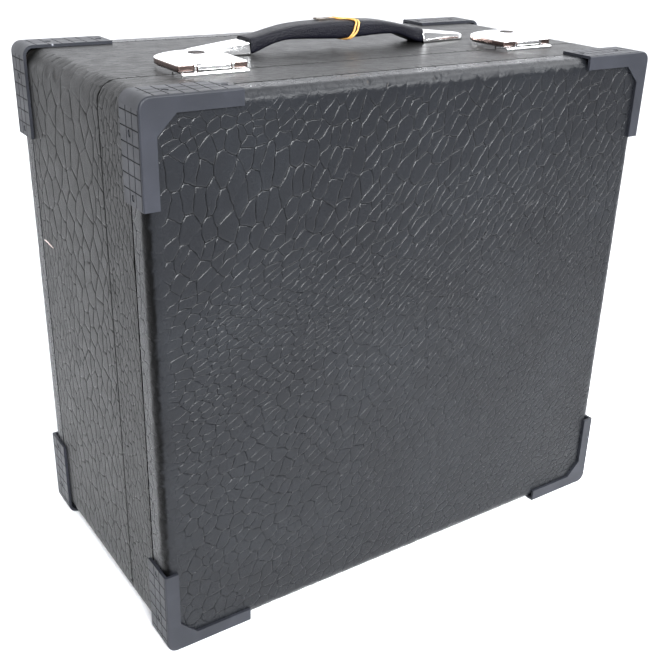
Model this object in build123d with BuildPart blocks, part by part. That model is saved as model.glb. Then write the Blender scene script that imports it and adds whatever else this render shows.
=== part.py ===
from build123d import *
import math
import os

os.makedirs("parts", exist_ok=True)

# ---------------------------------------------------------------- driving dimensions (mm)
# The case stands upright on its corner protectors. X is its width, Y its depth
# (front face at -Y), Z is up. The origin is on the floor under the middle of the case.
W = 500.0            # width over the covering
H = 464.0            # height over the covering
D = 267.0            # depth over the covering
T = 2.6              # corner protector thickness, also the gap between case and floor
LID_DEPTH = 78.0     # depth of the hinged front part
SEAM = 0.5           # gap between lid and base
R_SIDE = 16.0        # rounding of the four edges that run front to back
R_FACE = 10.0        # rounding of the front and back perimeter edges
SKIN = 1.0           # vinyl covering
WALL = 8.0           # plywood wall with its covering
FOLD = 25.0          # how far the front and back coverings turn over the sides
LINING = 5.0         # padded lining
LINING_GAP = 0.3

Z0 = T
ZT = Z0 + H
ZC = Z0 + H / 2
YF = -D / 2
YB = D / 2
YS = YF + LID_DEPTH

# corner protectors
ARM = 79.0           # arm length from the outer corner
BAND = 33.5          # width of the side band
FLANGE = 12.3        # width of the front flange
CORNER_R = 9.0
GUSSET = 15.0        # 45 degree gusset in the inner corner of the flange
GROOVE_W = 0.9
GROOVE_D = 0.5
GRID_Y = (2.2, 12.4, 22.5, 32.6)                      # groove lines across the band, from its front edge
GRID_A = tuple(12.4 + 11.0 * k for k in range(7))     # groove lines along an arm, from the outer corner
RIVET_AT = (27.2, 72.6)                               # rivet places along an arm
RIVET_Y = 17.45
RIVET_R = 1.5
RIVET_HEAD_R = 2.4

# bottom hinges
HINGE_X = (-150.0, 0.0, 150.0)
HINGE_L = 60.0
LEAF_W = 24.0
LEAF_T = 0.9
KNUCKLE_R = 2.1
HPIN_R = 1.1
HINGE_Z = Z0 - 0.15
HINGE_SCREWS = ((-21.0, 9.0), (21.0, 9.0), (0.0, 18.0))

# latches
LATCH_X = 162.0
PIN_Y = -66.0
PIN_Z = ZT + 6.6
LPIN_R = 1.25
PLATE_T = 2.6
PLATE_HALF = 28.5
COVER_HALF = 29.5
COVER_FRONT = -67.5
COVER_STRAIGHT = -30.0
COVER_TIP = -6.5
COVER_LOW = 3.5
COVER_EDGE = 8.2
COVER_TOP = 12.2
SHEET = 1.2
TONGUE_HALF = 14.0
TONGUE_R = 3.4
PLUG_Y = -38.5
PLUG_R = 6.5
CAM_R = 9.0

# carrying handle
HANDLE_Y = 12.5
CAP_MOUTH = 93.0
CAP_TIP = 150.0
CAP_HALF = 13.5
PIVOT_X = 112.0
PIVOT_H = 3.0
STRAP_T = 1.5
STRAP_HALF = 8.0
GRIP_HALF_L = 57.0
GRIP_HALF_W = 13.5


def face_plane(y):
    # plane facing -Y at depth y: its own x is X, its own y is Z
    return Plane.XZ.offset(-y)


def side_plane(x):
    # plane facing +X: its own x is Y, its own y is Z
    return Plane.YZ.offset(x)


# ---------------------------------------------------------------- fastener places
def rivet_places(front):
    y = YF - T + RIVET_Y if front else YB + T - RIVET_Y
    out = []
    for sx in (-1, 1):
        for sz in (-1, 1):
            for d in RIVET_AT:
                out.append(((sx * (W / 2 + T), y, ZC + sz * (H / 2 + T - d)), (-sx, 0, 0)))
                out.append(((sx * (W / 2 + T - d), y, ZC + sz * (H / 2 + T)), (0, 0, -sz)))
    return out


LID_LATCH_RIVETS = [(s * LATCH_X + dx, -60.6) for s in (-1, 1) for dx in (-23.0, 23.0)]
BASE_LATCH_RIVETS = [(s * LATCH_X + dx, y) for s in (-1, 1) for dx, y in ((-22.0, -48.0), (22.0, -48.0), (-14.0, -19.0), (14.0, -19.0))]
CAP_SCREWS = [(-PIVOT_X, HANDLE_Y), (PIVOT_X, HANDLE_Y)]

# ---------------------------------------------------------------- construction solids
with BuildPart() as lid_envelope:
    with BuildSketch(face_plane(YF)):
        with Locations((0, ZC)):
            RectangleRounded(W, H, R_SIDE)
    extrude(amount=-(LID_DEPTH - SEAM / 2))
    fillet(lid_envelope.edges().group_by(Axis.Y)[0], R_FACE)

with BuildPart() as lid_core:
    with BuildSketch(face_plane(YF + SKIN)):
        with Locations((0, ZC)):
            RectangleRounded(W - 2 * SKIN, H - 2 * SKIN, R_SIDE - SKIN)
    extrude(amount=-(LID_DEPTH - SEAM / 2 - SKIN))
    fillet(lid_core.edges().group_by(Axis.Y)[0], R_FACE - SKIN)

with BuildPart() as base_envelope:
    with BuildSketch(face_plane(YB)):
        with Locations((0, ZC)):
            RectangleRounded(W, H, R_SIDE)
    extrude(amount=D - LID_DEPTH - SEAM / 2)
    fillet(base_envelope.edges().group_by(Axis.Y)[-1], R_FACE)

with BuildPart() as base_core:
    with BuildSketch(face_plane(YB - SKIN)):
        with Locations((0, ZC)):
            RectangleRounded(W - 2 * SKIN, H - 2 * SKIN, R_SIDE - SKIN)
    extrude(amount=D - LID_DEPTH - SEAM / 2 - SKIN)
    fillet(base_core.edges().group_by(Axis.Y)[-1], R_FACE - SKIN)

# holes that the fasteners and hinge barrels need in the lid
with BuildPart() as lid_holes:
    for p, n in rivet_places(True):
        with BuildSketch(Plane(origin=p, z_dir=n)):
            Circle(RIVET_R + 0.05)
        extrude(amount=9.6)
    for x, y in LID_LATCH_RIVETS:
        with BuildSketch(Plane.XY.offset(ZT + 1)):
            with Locations((x, y)):
                Circle(1.55)
        extrude(amount=-7.2)
    for hx in HINGE_X:
        for dx, dy in HINGE_SCREWS:
            with BuildSketch(Plane.XY.offset(Z0 - 1)):
                with Locations((hx + dx, YS - dy)):
                    Circle(1.3)
            extrude(amount=7.4)
        with BuildSketch(side_plane(hx - HINGE_L / 2 - 0.6)):
            with Locations((YS, HINGE_Z)):
                Circle(KNUCKLE_R + 0.5)
        extrude(amount=HINGE_L + 1.2)

with BuildPart() as base_holes:
    for p, n in rivet_places(False):
        with BuildSketch(Plane(origin=p, z_dir=n)):
            Circle(RIVET_R + 0.05)
        extrude(amount=9.6)
    for x, y in BASE_LATCH_RIVETS:
        with BuildSketch(Plane.XY.offset(ZT + 1)):
            with Locations((x, y)):
                Circle(1.55)
        extrude(amount=-7.2)
    for x, y in CAP_SCREWS:
        with BuildSketch(Plane.XY.offset(ZT + 1)):
            with Locations((x, y)):
                Circle(1.8)
        extrude(amount=-8.0)
    for hx in HINGE_X:
        for dx, dy in HINGE_SCREWS:
            with BuildSketch(Plane.XY.offset(Z0 - 1)):
                with Locations((hx + dx, YS + dy)):
                    Circle(1.3)
            extrude(amount=7.4)
        with BuildSketch(side_plane(hx - HINGE_L / 2 - 0.6)):
            with Locations((YS, HINGE_Z)):
                Circle(KNUCKLE_R + 0.5)
        extrude(amount=HINGE_L + 1.2)

# ---------------------------------------------------------------- lid: plywood shell, coverings, lining
with BuildPart() as lid_shell:
    add(lid_core.part)
    with BuildSketch(face_plane(YF + WALL)):
        with Locations((0, ZC)):
            RectangleRounded(W - 2 * WALL, H - 2 * WALL, R_SIDE - WALL)
    extrude(amount=-LID_DEPTH, mode=Mode.SUBTRACT)
    add(lid_holes.part, mode=Mode.SUBTRACT)
lid_shell.part.label = "lid_shell"
export_step(lid_shell.part, "parts/lid_shell.step")

with BuildPart() as lid_front_vinyl:
    add(lid_envelope.part)
    split(bisect_by=face_plane(YF + FOLD), keep=Keep.TOP)
    add(lid_core.part, mode=Mode.SUBTRACT)
    add(lid_holes.part, mode=Mode.SUBTRACT)
lid_front_vinyl.part.label = "lid_front_vinyl"
export_step(lid_front_vinyl.part, "parts/lid_front_vinyl.step")

with BuildPart() as lid_side_vinyl:
    add(lid_envelope.part)
    split(bisect_by=face_plane(YF + FOLD), keep=Keep.BOTTOM)
    add(lid_core.part, mode=Mode.SUBTRACT)
    add(lid_holes.part, mode=Mode.SUBTRACT)
lid_side_vinyl.part.label = "lid_side_vinyl"
export_step(lid_side_vinyl.part, "parts/lid_side_vinyl.step")

with BuildPart() as lid_lining:
    with BuildSketch(face_plane(YF + WALL + LINING_GAP)):
        with Locations((0, ZC)):
            RectangleRounded(W - 2 * (WALL + LINING_GAP), H - 2 * (WALL + LINING_GAP), R_SIDE - WALL - LINING_GAP)
    extrude(amount=-(LID_DEPTH - WALL - LINING_GAP - 9.0))
    with BuildSketch(face_plane(YF + WALL + LINING_GAP + LINING)):
        with Locations((0, ZC)):
            RectangleRounded(W - 2 * (WALL + LINING_GAP + LINING), H - 2 * (WALL + LINING_GAP + LINING), 3.0)
    extrude(amount=-LID_DEPTH, mode=Mode.SUBTRACT)
lid_lining.part.label = "lid_lining"
export_step(lid_lining.part, "parts/lid_lining.step")

# ---------------------------------------------------------------- base: plywood shell, coverings, rim, lining
with BuildPart() as base_shell:
    add(base_core.part)
    with BuildSketch(face_plane(YB - WALL)):
        with Locations((0, ZC)):
            RectangleRounded(W - 2 * WALL, H - 2 * WALL, R_SIDE - WALL)
    extrude(amount=D, mode=Mode.SUBTRACT)
    add(base_holes.part, mode=Mode.SUBTRACT)
base_shell.part.label = "base_shell"
export_step(base_shell.part, "parts/base_shell.step")

with BuildPart() as base_back_vinyl:
    add(base_envelope.part)
    split(bisect_by=face_plane(YB - FOLD), keep=Keep.BOTTOM)
    add(base_core.part, mode=Mode.SUBTRACT)
    add(base_holes.part, mode=Mode.SUBTRACT)
base_back_vinyl.part.label = "base_back_vinyl"
export_step(base_back_vinyl.part, "parts/base_back_vinyl.step")

with BuildPart() as base_side_vinyl:
    add(base_envelope.part)
    split(bisect_by=face_plane(YB - FOLD), keep=Keep.TOP)
    add(base_core.part, mode=Mode.SUBTRACT)
    add(base_holes.part, mode=Mode.SUBTRACT)
base_side_vinyl.part.label = "base_side_vinyl"
export_step(base_side_vinyl.part, "parts/base_side_vinyl.step")

# rim: a thin hardwood strip inside the base mouth that stands 7 mm into the lid
with BuildPart() as base_rim:
    with BuildSketch(face_plane(YS + 20.0)):
        with Locations((0, ZC)):
            RectangleRounded(W - 2 * WALL, H - 2 * WALL, R_SIDE - WALL)
            RectangleRounded(W - 2 * WALL - 6.0, H - 2 * WALL - 6.0, R_SIDE - WALL - 3.0, mode=Mode.SUBTRACT)
    extrude(amount=20.0 - SEAM / 2)
    with BuildSketch(face_plane(YS + SEAM / 2)):
        with Locations((0, ZC)):
            RectangleRounded(W - 2 * WALL - 1.8, H - 2 * WALL - 1.8, R_SIDE - WALL - 0.9)
            RectangleRounded(W - 2 * WALL - 6.0, H - 2 * WALL - 6.0, R_SIDE - WALL - 3.0, mode=Mode.SUBTRACT)
    extrude(amount=7.0 + SEAM / 2)
base_rim.part.label = "base_rim"
export_step(base_rim.part, "parts/base_rim.step")

with BuildPart() as base_lining:
    with BuildSketch(face_plane(YB - WALL - LINING_GAP)):
        with Locations((0, ZC)):
            RectangleRounded(W - 2 * (WALL + LINING_GAP), H - 2 * (WALL + LINING_GAP), R_SIDE - WALL - LINING_GAP)
    extrude(amount=D - LID_DEPTH - WALL - LINING_GAP - 20.5)
    with BuildSketch(face_plane(YB - WALL - LINING_GAP - LINING)):
        with Locations((0, ZC)):
            RectangleRounded(W - 2 * (WALL + LINING_GAP + LINING), H - 2 * (WALL + LINING_GAP + LINING), 3.0)
    extrude(amount=D, mode=Mode.SUBTRACT)
base_lining.part.label = "base_lining"
export_step(base_lining.part, "parts/base_lining.step")

# ---------------------------------------------------------------- corner protectors
# An L-shaped angle: a smooth flange on the face and a band round the corner,
# with an engraved grid. The case's own rounded edge leaves a hollow behind it.
XO = -(W / 2 + T)
ZO = ZT + T
YO = YF - T
with BuildPart() as lid_corner_top_left:
    with BuildSketch(face_plane(YO)):
        with BuildLine():
            Polyline(
                (XO, ZO), (XO + ARM, ZO), (XO + ARM, ZO - FLANGE), (XO + FLANGE + GUSSET, ZO - FLANGE),
                (XO + FLANGE, ZO - FLANGE - GUSSET), (XO + FLANGE, ZO - ARM), (XO, ZO - ARM), close=True,
            )
        make_face()
    extrude(amount=-T)
    with BuildSketch(face_plane(YO)):
        with BuildLine():
            Polyline(
                (XO, ZO), (XO + ARM, ZO), (XO + ARM, ZO - T), (XO + T, ZO - T), (XO + T, ZO - ARM), (XO, ZO - ARM), close=True,
            )
        make_face()
    extrude(amount=-BAND)
    inner = lid_corner_top_left.edges().filter_by(Axis.Y).filter_by(lambda e: abs(e.center().X - XO - T) < 0.1 and abs(e.center().Z - ZO + T) < 0.1)
    fillet(inner, CORNER_R - T)
    outer = lid_corner_top_left.edges().filter_by(Axis.Y).filter_by(lambda e: abs(e.center().X - XO) < 0.1 and abs(e.center().Z - ZO) < 0.1)
    fillet(outer, CORNER_R)
    front = lid_corner_top_left.edges().filter_by(
        lambda e: abs(e.bounding_box().max.Y - YO) < 0.01 and (
            abs(e.center().X - XO) < 0.1 or abs(e.center().Z - ZO) < 0.1
            or (e.geom_type == GeomType.CIRCLE and e.center().X < XO + CORNER_R and e.center().Z > ZO - CORNER_R)
        )
    )
    fillet(front, 1.6)
    # engraved lines across the band
    for a in GRID_A[:-1]:
        with BuildSketch(Plane.XY.offset(ZO - GROOVE_D)):
            with Locations((XO + a, YO + (GRID_Y[0] + GRID_Y[-1]) / 2)):
                Rectangle(GROOVE_W, GRID_Y[-1] - GRID_Y[0] + GROOVE_W)
        extrude(amount=2.0, mode=Mode.SUBTRACT)
        with BuildSketch(side_plane(XO + GROOVE_D)):
            with Locations((YO + (GRID_Y[0] + GRID_Y[-1]) / 2, ZO - a)):
                Rectangle(GRID_Y[-1] - GRID_Y[0] + GROOVE_W, GROOVE_W)
        extrude(amount=-2.0, mode=Mode.SUBTRACT)
    # engraved lines along the arms
    for g in GRID_Y[:-1]:
        with BuildSketch(Plane.XY.offset(ZO - GROOVE_D)):
            with Locations((XO + (CORNER_R + GRID_A[-1]) / 2, YO + g)):
                Rectangle(GRID_A[-1] - CORNER_R, GROOVE_W)
        extrude(amount=2.0, mode=Mode.SUBTRACT)
        with BuildSketch(side_plane(XO + GROOVE_D)):
            with Locations((YO + g, ZO - (CORNER_R + GRID_A[-1]) / 2)):
                Rectangle(GROOVE_W, GRID_A[-1] - CORNER_R)
        extrude(amount=-2.0, mode=Mode.SUBTRACT)
    # rivet holes with a recess for the heads
    for d in RIVET_AT:
        with BuildSketch(Plane.XY.offset(ZO)):
            with Locations((XO + d, YO + RIVET_Y)):
                Circle(RIVET_R + 0.05)
        extrude(amount=-T, mode=Mode.SUBTRACT)
        with BuildSketch(Plane.XY.offset(ZO)):
            with Locations((XO + d, YO + RIVET_Y)):
                Circle(RIVET_HEAD_R + 0.25)
        extrude(amount=-1.5, mode=Mode.SUBTRACT)
        with BuildSketch(side_plane(XO)):
            with Locations((YO + RIVET_Y, ZO - d)):
                Circle(RIVET_R + 0.05)
        extrude(amount=T, mode=Mode.SUBTRACT)
        with BuildSketch(side_plane(XO)):
            with Locations((YO + RIVET_Y, ZO - d)):
                Circle(RIVET_HEAD_R + 0.25)
        extrude(amount=1.5, mode=Mode.SUBTRACT)
lid_corner_top_left.part.label = "lid_corner_top_left"
export_step(lid_corner_top_left.part, "parts/lid_corner_top_left.step")

with BuildPart() as lid_corner_top_right:
    mirror(lid_corner_top_left.part, about=Plane.YZ)
lid_corner_top_right.part.label = "lid_corner_top_right"
export_step(lid_corner_top_right.part, "parts/lid_corner_top_right.step")

with BuildPart() as lid_corner_bottom_left:
    mirror(lid_corner_top_left.part, about=Plane.XY.offset(ZC))
lid_corner_bottom_left.part.label = "lid_corner_bottom_left"
export_step(lid_corner_bottom_left.part, "parts/lid_corner_bottom_left.step")

with BuildPart() as lid_corner_bottom_right:
    mirror(lid_corner_top_right.part, about=Plane.XY.offset(ZC))
lid_corner_bottom_right.part.label = "lid_corner_bottom_right"
export_step(lid_corner_bottom_right.part, "parts/lid_corner_bottom_right.step")

with BuildPart() as base_corner_top_left:
    mirror(lid_corner_top_left.part, about=Plane.XZ)
base_corner_top_left.part.label = "base_corner_top_left"
export_step(base_corner_top_left.part, "parts/base_corner_top_left.step")

with BuildPart() as base_corner_top_right:
    mirror(lid_corner_top_right.part, about=Plane.XZ)
base_corner_top_right.part.label = "base_corner_top_right"
export_step(base_corner_top_right.part, "parts/base_corner_top_right.step")

with BuildPart() as base_corner_bottom_left:
    mirror(lid_corner_bottom_left.part, about=Plane.XZ)
base_corner_bottom_left.part.label = "base_corner_bottom_left"
export_step(base_corner_bottom_left.part, "parts/base_corner_bottom_left.step")

with BuildPart() as base_corner_bottom_right:
    mirror(lid_corner_bottom_right.part, about=Plane.XZ)
base_corner_bottom_right.part.label = "base_corner_bottom_right"
export_step(base_corner_bottom_right.part, "parts/base_corner_bottom_right.step")

# rivets of the protectors, one group on the lid and one on the base
with BuildPart() as lid_corner_rivets:
    for p, n in rivet_places(True):
        with BuildSketch(Plane(origin=p, z_dir=n).offset(0.5)):
            Circle(RIVET_HEAD_R)
        extrude(amount=1.0)
        with BuildSketch(Plane(origin=p, z_dir=n).offset(1.5)):
            Circle(RIVET_R)
        extrude(amount=7.8)
lid_corner_rivets.part.label = "lid_corner_rivets"
export_step(lid_corner_rivets.part, "parts/lid_corner_rivets.step")

with BuildPart() as base_corner_rivets:
    for p, n in rivet_places(False):
        with BuildSketch(Plane(origin=p, z_dir=n).offset(0.5)):
            Circle(RIVET_HEAD_R)
        extrude(amount=1.0)
        with BuildSketch(Plane(origin=p, z_dir=n).offset(1.5)):
            Circle(RIVET_R)
        extrude(amount=7.8)
base_corner_rivets.part.label = "base_corner_rivets"
export_step(base_corner_rivets.part, "parts/base_corner_rivets.step")

# ---------------------------------------------------------------- bottom hinges
# Three butt hinges under the seam: leaves flat on the covering, barrels let into the edge.
# The lid leaf has the two outer knuckles and the base leaf the middle one.
KN = HINGE_L / 3
with BuildPart() as hinge_leaves_lid:
    for hx in HINGE_X:
        with BuildSketch(Plane.XY.offset(Z0 - LEAF_T)):
            with Locations((hx, YS - (LEAF_W + 2.5) / 2)):
                Rectangle(HINGE_L, LEAF_W - 2.5)
        extrude(amount=LEAF_T)
        for kx in (hx - HINGE_L / 2, hx + HINGE_L / 2 - KN + 0.3):
            with BuildSketch(Plane.XY.offset(Z0 - LEAF_T)):
                with Locations((kx + (KN - 0.3) / 2, YS - 1.9)):
                    Rectangle(KN - 0.3, 1.4)
            extrude(amount=LEAF_T)
            with BuildSketch(side_plane(kx)):
                with Locations((YS, HINGE_Z)):
                    Circle(KNUCKLE_R)
                    Circle(HPIN_R + 0.05, mode=Mode.SUBTRACT)
            extrude(amount=KN - 0.3)
        for dx, dy in HINGE_SCREWS:
            with BuildSketch(Plane.XY.offset(Z0 - LEAF_T)):
                with Locations((hx + dx, YS - dy)):
                    Circle(2.05)
            extrude(amount=LEAF_T, mode=Mode.SUBTRACT)
hinge_leaves_lid.part.label = "hinge_leaves_lid"
export_step(hinge_leaves_lid.part, "parts/hinge_leaves_lid.step")

with BuildPart() as hinge_leaves_base:
    for hx in HINGE_X:
        with BuildSketch(Plane.XY.offset(Z0 - LEAF_T)):
            with Locations((hx, YS + (LEAF_W + 2.5) / 2)):
                Rectangle(HINGE_L, LEAF_W - 2.5)
        extrude(amount=LEAF_T)
        with BuildSketch(Plane.XY.offset(Z0 - LEAF_T)):
            with Locations((hx, YS + 1.9)):
                Rectangle(KN - 0.6, 1.4)
        extrude(amount=LEAF_T)
        with BuildSketch(side_plane(hx - KN / 2 + 0.3)):
            with Locations((YS, HINGE_Z)):
                Circle(KNUCKLE_R)
                Circle(HPIN_R + 0.05, mode=Mode.SUBTRACT)
        extrude(amount=KN - 0.6)
        for dx, dy in HINGE_SCREWS:
            with BuildSketch(Plane.XY.offset(Z0 - LEAF_T)):
                with Locations((hx + dx, YS + dy)):
                    Circle(2.05)
            extrude(amount=LEAF_T, mode=Mode.SUBTRACT)
hinge_leaves_base.part.label = "hinge_leaves_base"
export_step(hinge_leaves_base.part, "parts/hinge_leaves_base.step")

with BuildPart() as hinge_pins:
    for hx in HINGE_X:
        with BuildSketch(side_plane(hx - HINGE_L / 2)):
            with Locations((YS, HINGE_Z)):
                Circle(HPIN_R)
        extrude(amount=HINGE_L)
hinge_pins.part.label = "hinge_pins"
export_step(hinge_pins.part, "parts/hinge_pins.step")

with BuildPart() as hinge_screws_lid:
    for hx in HINGE_X:
        for dx, dy in HINGE_SCREWS:
            with BuildSketch(Plane.XY.offset(Z0 - LEAF_T)):
                with Locations((hx + dx, YS - dy)):
                    Circle(2.0)
            extrude(amount=LEAF_T)
            with BuildSketch(Plane.XY.offset(Z0)):
                with Locations((hx + dx, YS - dy)):
                    Circle(1.25)
            extrude(amount=6.2)
hinge_screws_lid.part.label = "hinge_screws_lid"
export_step(hinge_screws_lid.part, "parts/hinge_screws_lid.step")

with BuildPart() as hinge_screws_base:
    for hx in HINGE_X:
        for dx, dy in HINGE_SCREWS:
            with BuildSketch(Plane.XY.offset(Z0 - LEAF_T)):
                with Locations((hx + dx, YS + dy)):
                    Circle(2.0)
            extrude(amount=LEAF_T)
            with BuildSketch(Plane.XY.offset(Z0)):
                with Locations((hx + dx, YS + dy)):
                    Circle(1.25)
            extrude(amount=6.2)
hinge_screws_base.part.label = "hinge_screws_base"
export_step(hinge_screws_base.part, "parts/hinge_screws_base.step")


# ---------------------------------------------------------------- latches
def shield(cx, half, front, straight, tip):
    # closed shield outline: square front, straight sides, rounded back
    rise = tip - straight
    return (
        Polyline((cx - half, straight), (cx - half, front), (cx + half, front), (cx + half, straight)),
        Bezier((cx + half, straight), (cx + half, straight + 0.62 * rise), (cx + half * 0.6, tip), (cx, tip)),
        Bezier((cx, tip), (cx - half * 0.6, tip), (cx - half, straight + 0.62 * rise), (cx - half, straight)),
    )


# The cover is a pressed chrome shell, hinged at its front edge on the lid plate.
for side, cx in (("left", -LATCH_X), ("right", LATCH_X)):
    with BuildPart() as latch_plate:
        with BuildSketch(Plane.XY.offset(ZT)):
            with Locations((cx, (-71.5 + YS - 0.6) / 2)):
                RectangleRounded(2 * PLATE_HALF, 71.5 + YS - 0.6, 1.2)
        extrude(amount=PLATE_T)
        for s in (-1, 1):
            with BuildSketch(side_plane(cx + s * 15.8 - 0.8)):
                with BuildLine():
                    Polyline((-69.0, ZT + 1.0), (-63.0, ZT + 1.0), (-63.0, PIN_Z))
                    ThreePointArc((-63.0, PIN_Z), (PIN_Y, PIN_Z + 3.0), (-69.0, PIN_Z))
                    Line((-69.0, PIN_Z), (-69.0, ZT + 1.0))
                make_face()
                with Locations((PIN_Y, PIN_Z)):
                    Circle(LPIN_R + 0.05, mode=Mode.SUBTRACT)
            extrude(amount=1.6)
        for x, y in LID_LATCH_RIVETS:
            if abs(x - cx) < 40:
                with BuildSketch(Plane.XY.offset(ZT)):
                    with Locations((x, y)):
                        Circle(1.55)
                extrude(amount=PLATE_T, mode=Mode.SUBTRACT)
    latch_plate.part.label = "latch_plate_" + side
    export_step(latch_plate.part, "parts/latch_plate_" + side + ".step")

    with BuildPart() as latch_pin:
        with BuildSketch(side_plane(cx - 17.2)):
            with Locations((PIN_Y, PIN_Z)):
                Circle(LPIN_R)
        extrude(amount=34.4)
    latch_pin.part.label = "latch_pin_" + side
    export_step(latch_pin.part, "parts/latch_pin_" + side + ".step")

    with BuildPart() as latch_cover:
        with BuildSketch(Plane.XY.offset(ZT + COVER_LOW)):
            with BuildLine():
                shield(cx, COVER_HALF, COVER_FRONT, COVER_STRAIGHT, COVER_TIP)
            make_face()
        extrude(amount=COVER_EDGE - COVER_LOW)
        with BuildSketch(Plane.XY.offset(ZT + COVER_EDGE)):
            with BuildLine():
                shield(cx, COVER_HALF, COVER_FRONT, COVER_STRAIGHT, COVER_TIP)
            make_face()
        with BuildSketch(Plane.XY.offset(ZT + COVER_TOP)):
            with BuildLine():
                shield(cx, COVER_HALF - 13, COVER_FRONT + 17, COVER_STRAIGHT - 3, COVER_TIP - 11)
            make_face()
        loft()
        # hollow underside
        with BuildSketch(Plane.XY.offset(ZT + COVER_LOW)):
            with BuildLine():
                shield(cx, COVER_HALF - SHEET, COVER_FRONT + SHEET, COVER_STRAIGHT - 0.3, COVER_TIP - SHEET)
            make_face()
        extrude(amount=COVER_EDGE - COVER_LOW - SHEET, mode=Mode.SUBTRACT)
        with BuildSketch(Plane.XY.offset(ZT + COVER_LOW)):
            with BuildLine():
                shield(cx, COVER_HALF - 12, COVER_FRONT + 16, COVER_STRAIGHT - 3, COVER_TIP - 10)
            make_face()
        extrude(amount=COVER_TOP - COVER_LOW - 1.6, mode=Mode.SUBTRACT)
        # room for the tongue and the two lugs of the plate
        with BuildSketch(Plane.XY.offset(ZT)):
            with Locations((cx, -66.0)):
                Rectangle(2 * 17.8, 10.0)
        extrude(amount=20, mode=Mode.SUBTRACT)
        # rolled tongue round the pin with a flat top
        with BuildSketch(side_plane(cx - TONGUE_HALF)):
            with BuildLine():
                Polyline((PIN_Y - TONGUE_R, PIN_Z), (PIN_Y - TONGUE_R, PIN_Z + TONGUE_R), (-54.0, PIN_Z + TONGUE_R), (-54.0, PIN_Z + 1.2), (-61.5, PIN_Z), (PIN_Y + TONGUE_R, PIN_Z))
                ThreePointArc((PIN_Y + TONGUE_R, PIN_Z), (PIN_Y, PIN_Z - TONGUE_R), (PIN_Y - TONGUE_R, PIN_Z))
            make_face()
        extrude(amount=2 * TONGUE_HALF)
        with BuildSketch(side_plane(cx - TONGUE_HALF)):
            with Locations((PIN_Y, PIN_Z)):
                Circle(LPIN_R + 0.05)
        extrude(amount=2 * TONGUE_HALF, mode=Mode.SUBTRACT)
        # finger notch in the back wall, and the hole for the lock plug
        with BuildSketch(Plane.XY.offset(ZT + COVER_LOW)):
            with Locations((cx, -10.0)):
                Rectangle(18.0, 12.0)
        extrude(amount=4.6, mode=Mode.SUBTRACT)
        with BuildSketch(Plane.XY.offset(ZT + COVER_LOW)):
            with Locations((cx, PLUG_Y)):
                Circle(PLUG_R + 0.06)
        extrude(amount=12, mode=Mode.SUBTRACT)
    latch_cover.part.label = "latch_cover_" + side
    export_step(latch_cover.part, "parts/latch_cover_" + side + ".step")

    # lock plug: round head with a key slot, a slimmer body and a cam under it
    with BuildPart() as lock_plug:
        with BuildSketch(Plane.XY.offset(ZT + 9.6)):
            with Locations((cx, PLUG_Y)):
                Circle(PLUG_R)
        extrude(amount=2.9)
        with BuildSketch(Plane.XY.offset(ZT + 4.1)):
            with Locations((cx, PLUG_Y)):
                Circle(4.6)
        extrude(amount=5.5)
        with BuildSketch(Plane.XY.offset(ZT + 4.1)):
            with Locations((cx + CAM_R / 2 - 1.0, PLUG_Y)):
                RectangleRounded(CAM_R + 2.0, 5.0, 2.0)
        extrude(amount=1.8)
        with BuildSketch(Plane.XY.offset(ZT + 12.5)):
            with Locations((cx, PLUG_Y)):
                Rectangle(9.6, 1.6)
        extrude(amount=-2.4, mode=Mode.SUBTRACT)
    lock_plug.part.label = "lock_plug_" + side
    export_step(lock_plug.part, "parts/lock_plug_" + side + ".step")

    # catch plate on the base, with the keeper that the cam turns under
    with BuildPart() as catch_plate:
        with BuildSketch(Plane.XY.offset(ZT)):
            with BuildLine():
                shield(cx, PLATE_HALF, YS + 0.6, COVER_STRAIGHT - 1.0, COVER_TIP - 1.5)
            make_face()
        extrude(amount=PLATE_T)
        for s in (-1, 1):
            with BuildSketch(Plane.XY.offset(ZT + PLATE_T)):
                with Locations((cx + s * 6.95, -30.4)):
                    Rectangle(1.5, 2.4)
            extrude(amount=3.7)
        with BuildSketch(Plane.XY.offset(ZT + 6.3)):
            with Locations((cx, -30.4)):
                Rectangle(15.4, 2.4)
        extrude(amount=1.3)
        for x, y in BASE_LATCH_RIVETS:
            if abs(x - cx) < 40:
                with BuildSketch(Plane.XY.offset(ZT)):
                    with Locations((x, y)):
                        Circle(1.55)
                extrude(amount=PLATE_T, mode=Mode.SUBTRACT)
    catch_plate.part.label = "catch_plate_" + side
    export_step(catch_plate.part, "parts/catch_plate_" + side + ".step")

with BuildPart() as latch_rivets_lid:
    for x, y in LID_LATCH_RIVETS:
        with BuildSketch(Plane.XY.offset(ZT + PLATE_T)):
            with Locations((x, y)):
                Circle(2.6)
        extrude(amount=0.7)
        with BuildSketch(Plane.XY.offset(ZT + PLATE_T)):
            with Locations((x, y)):
                Circle(1.5)
        extrude(amount=-8.2)
latch_rivets_lid.part.label = "latch_rivets_lid"
export_step(latch_rivets_lid.part, "parts/latch_rivets_lid.step")

with BuildPart() as latch_rivets_base:
    for x, y in BASE_LATCH_RIVETS:
        with BuildSketch(Plane.XY.offset(ZT + PLATE_T)):
            with Locations((x, y)):
                Circle(2.4)
        extrude(amount=0.7)
        with BuildSketch(Plane.XY.offset(ZT + PLATE_T)):
            with Locations((x, y)):
                Circle(1.5)
        extrude(amount=-8.2)
latch_rivets_base.part.label = "latch_rivets_base"
export_step(latch_rivets_base.part, "parts/latch_rivets_base.step")

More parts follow.
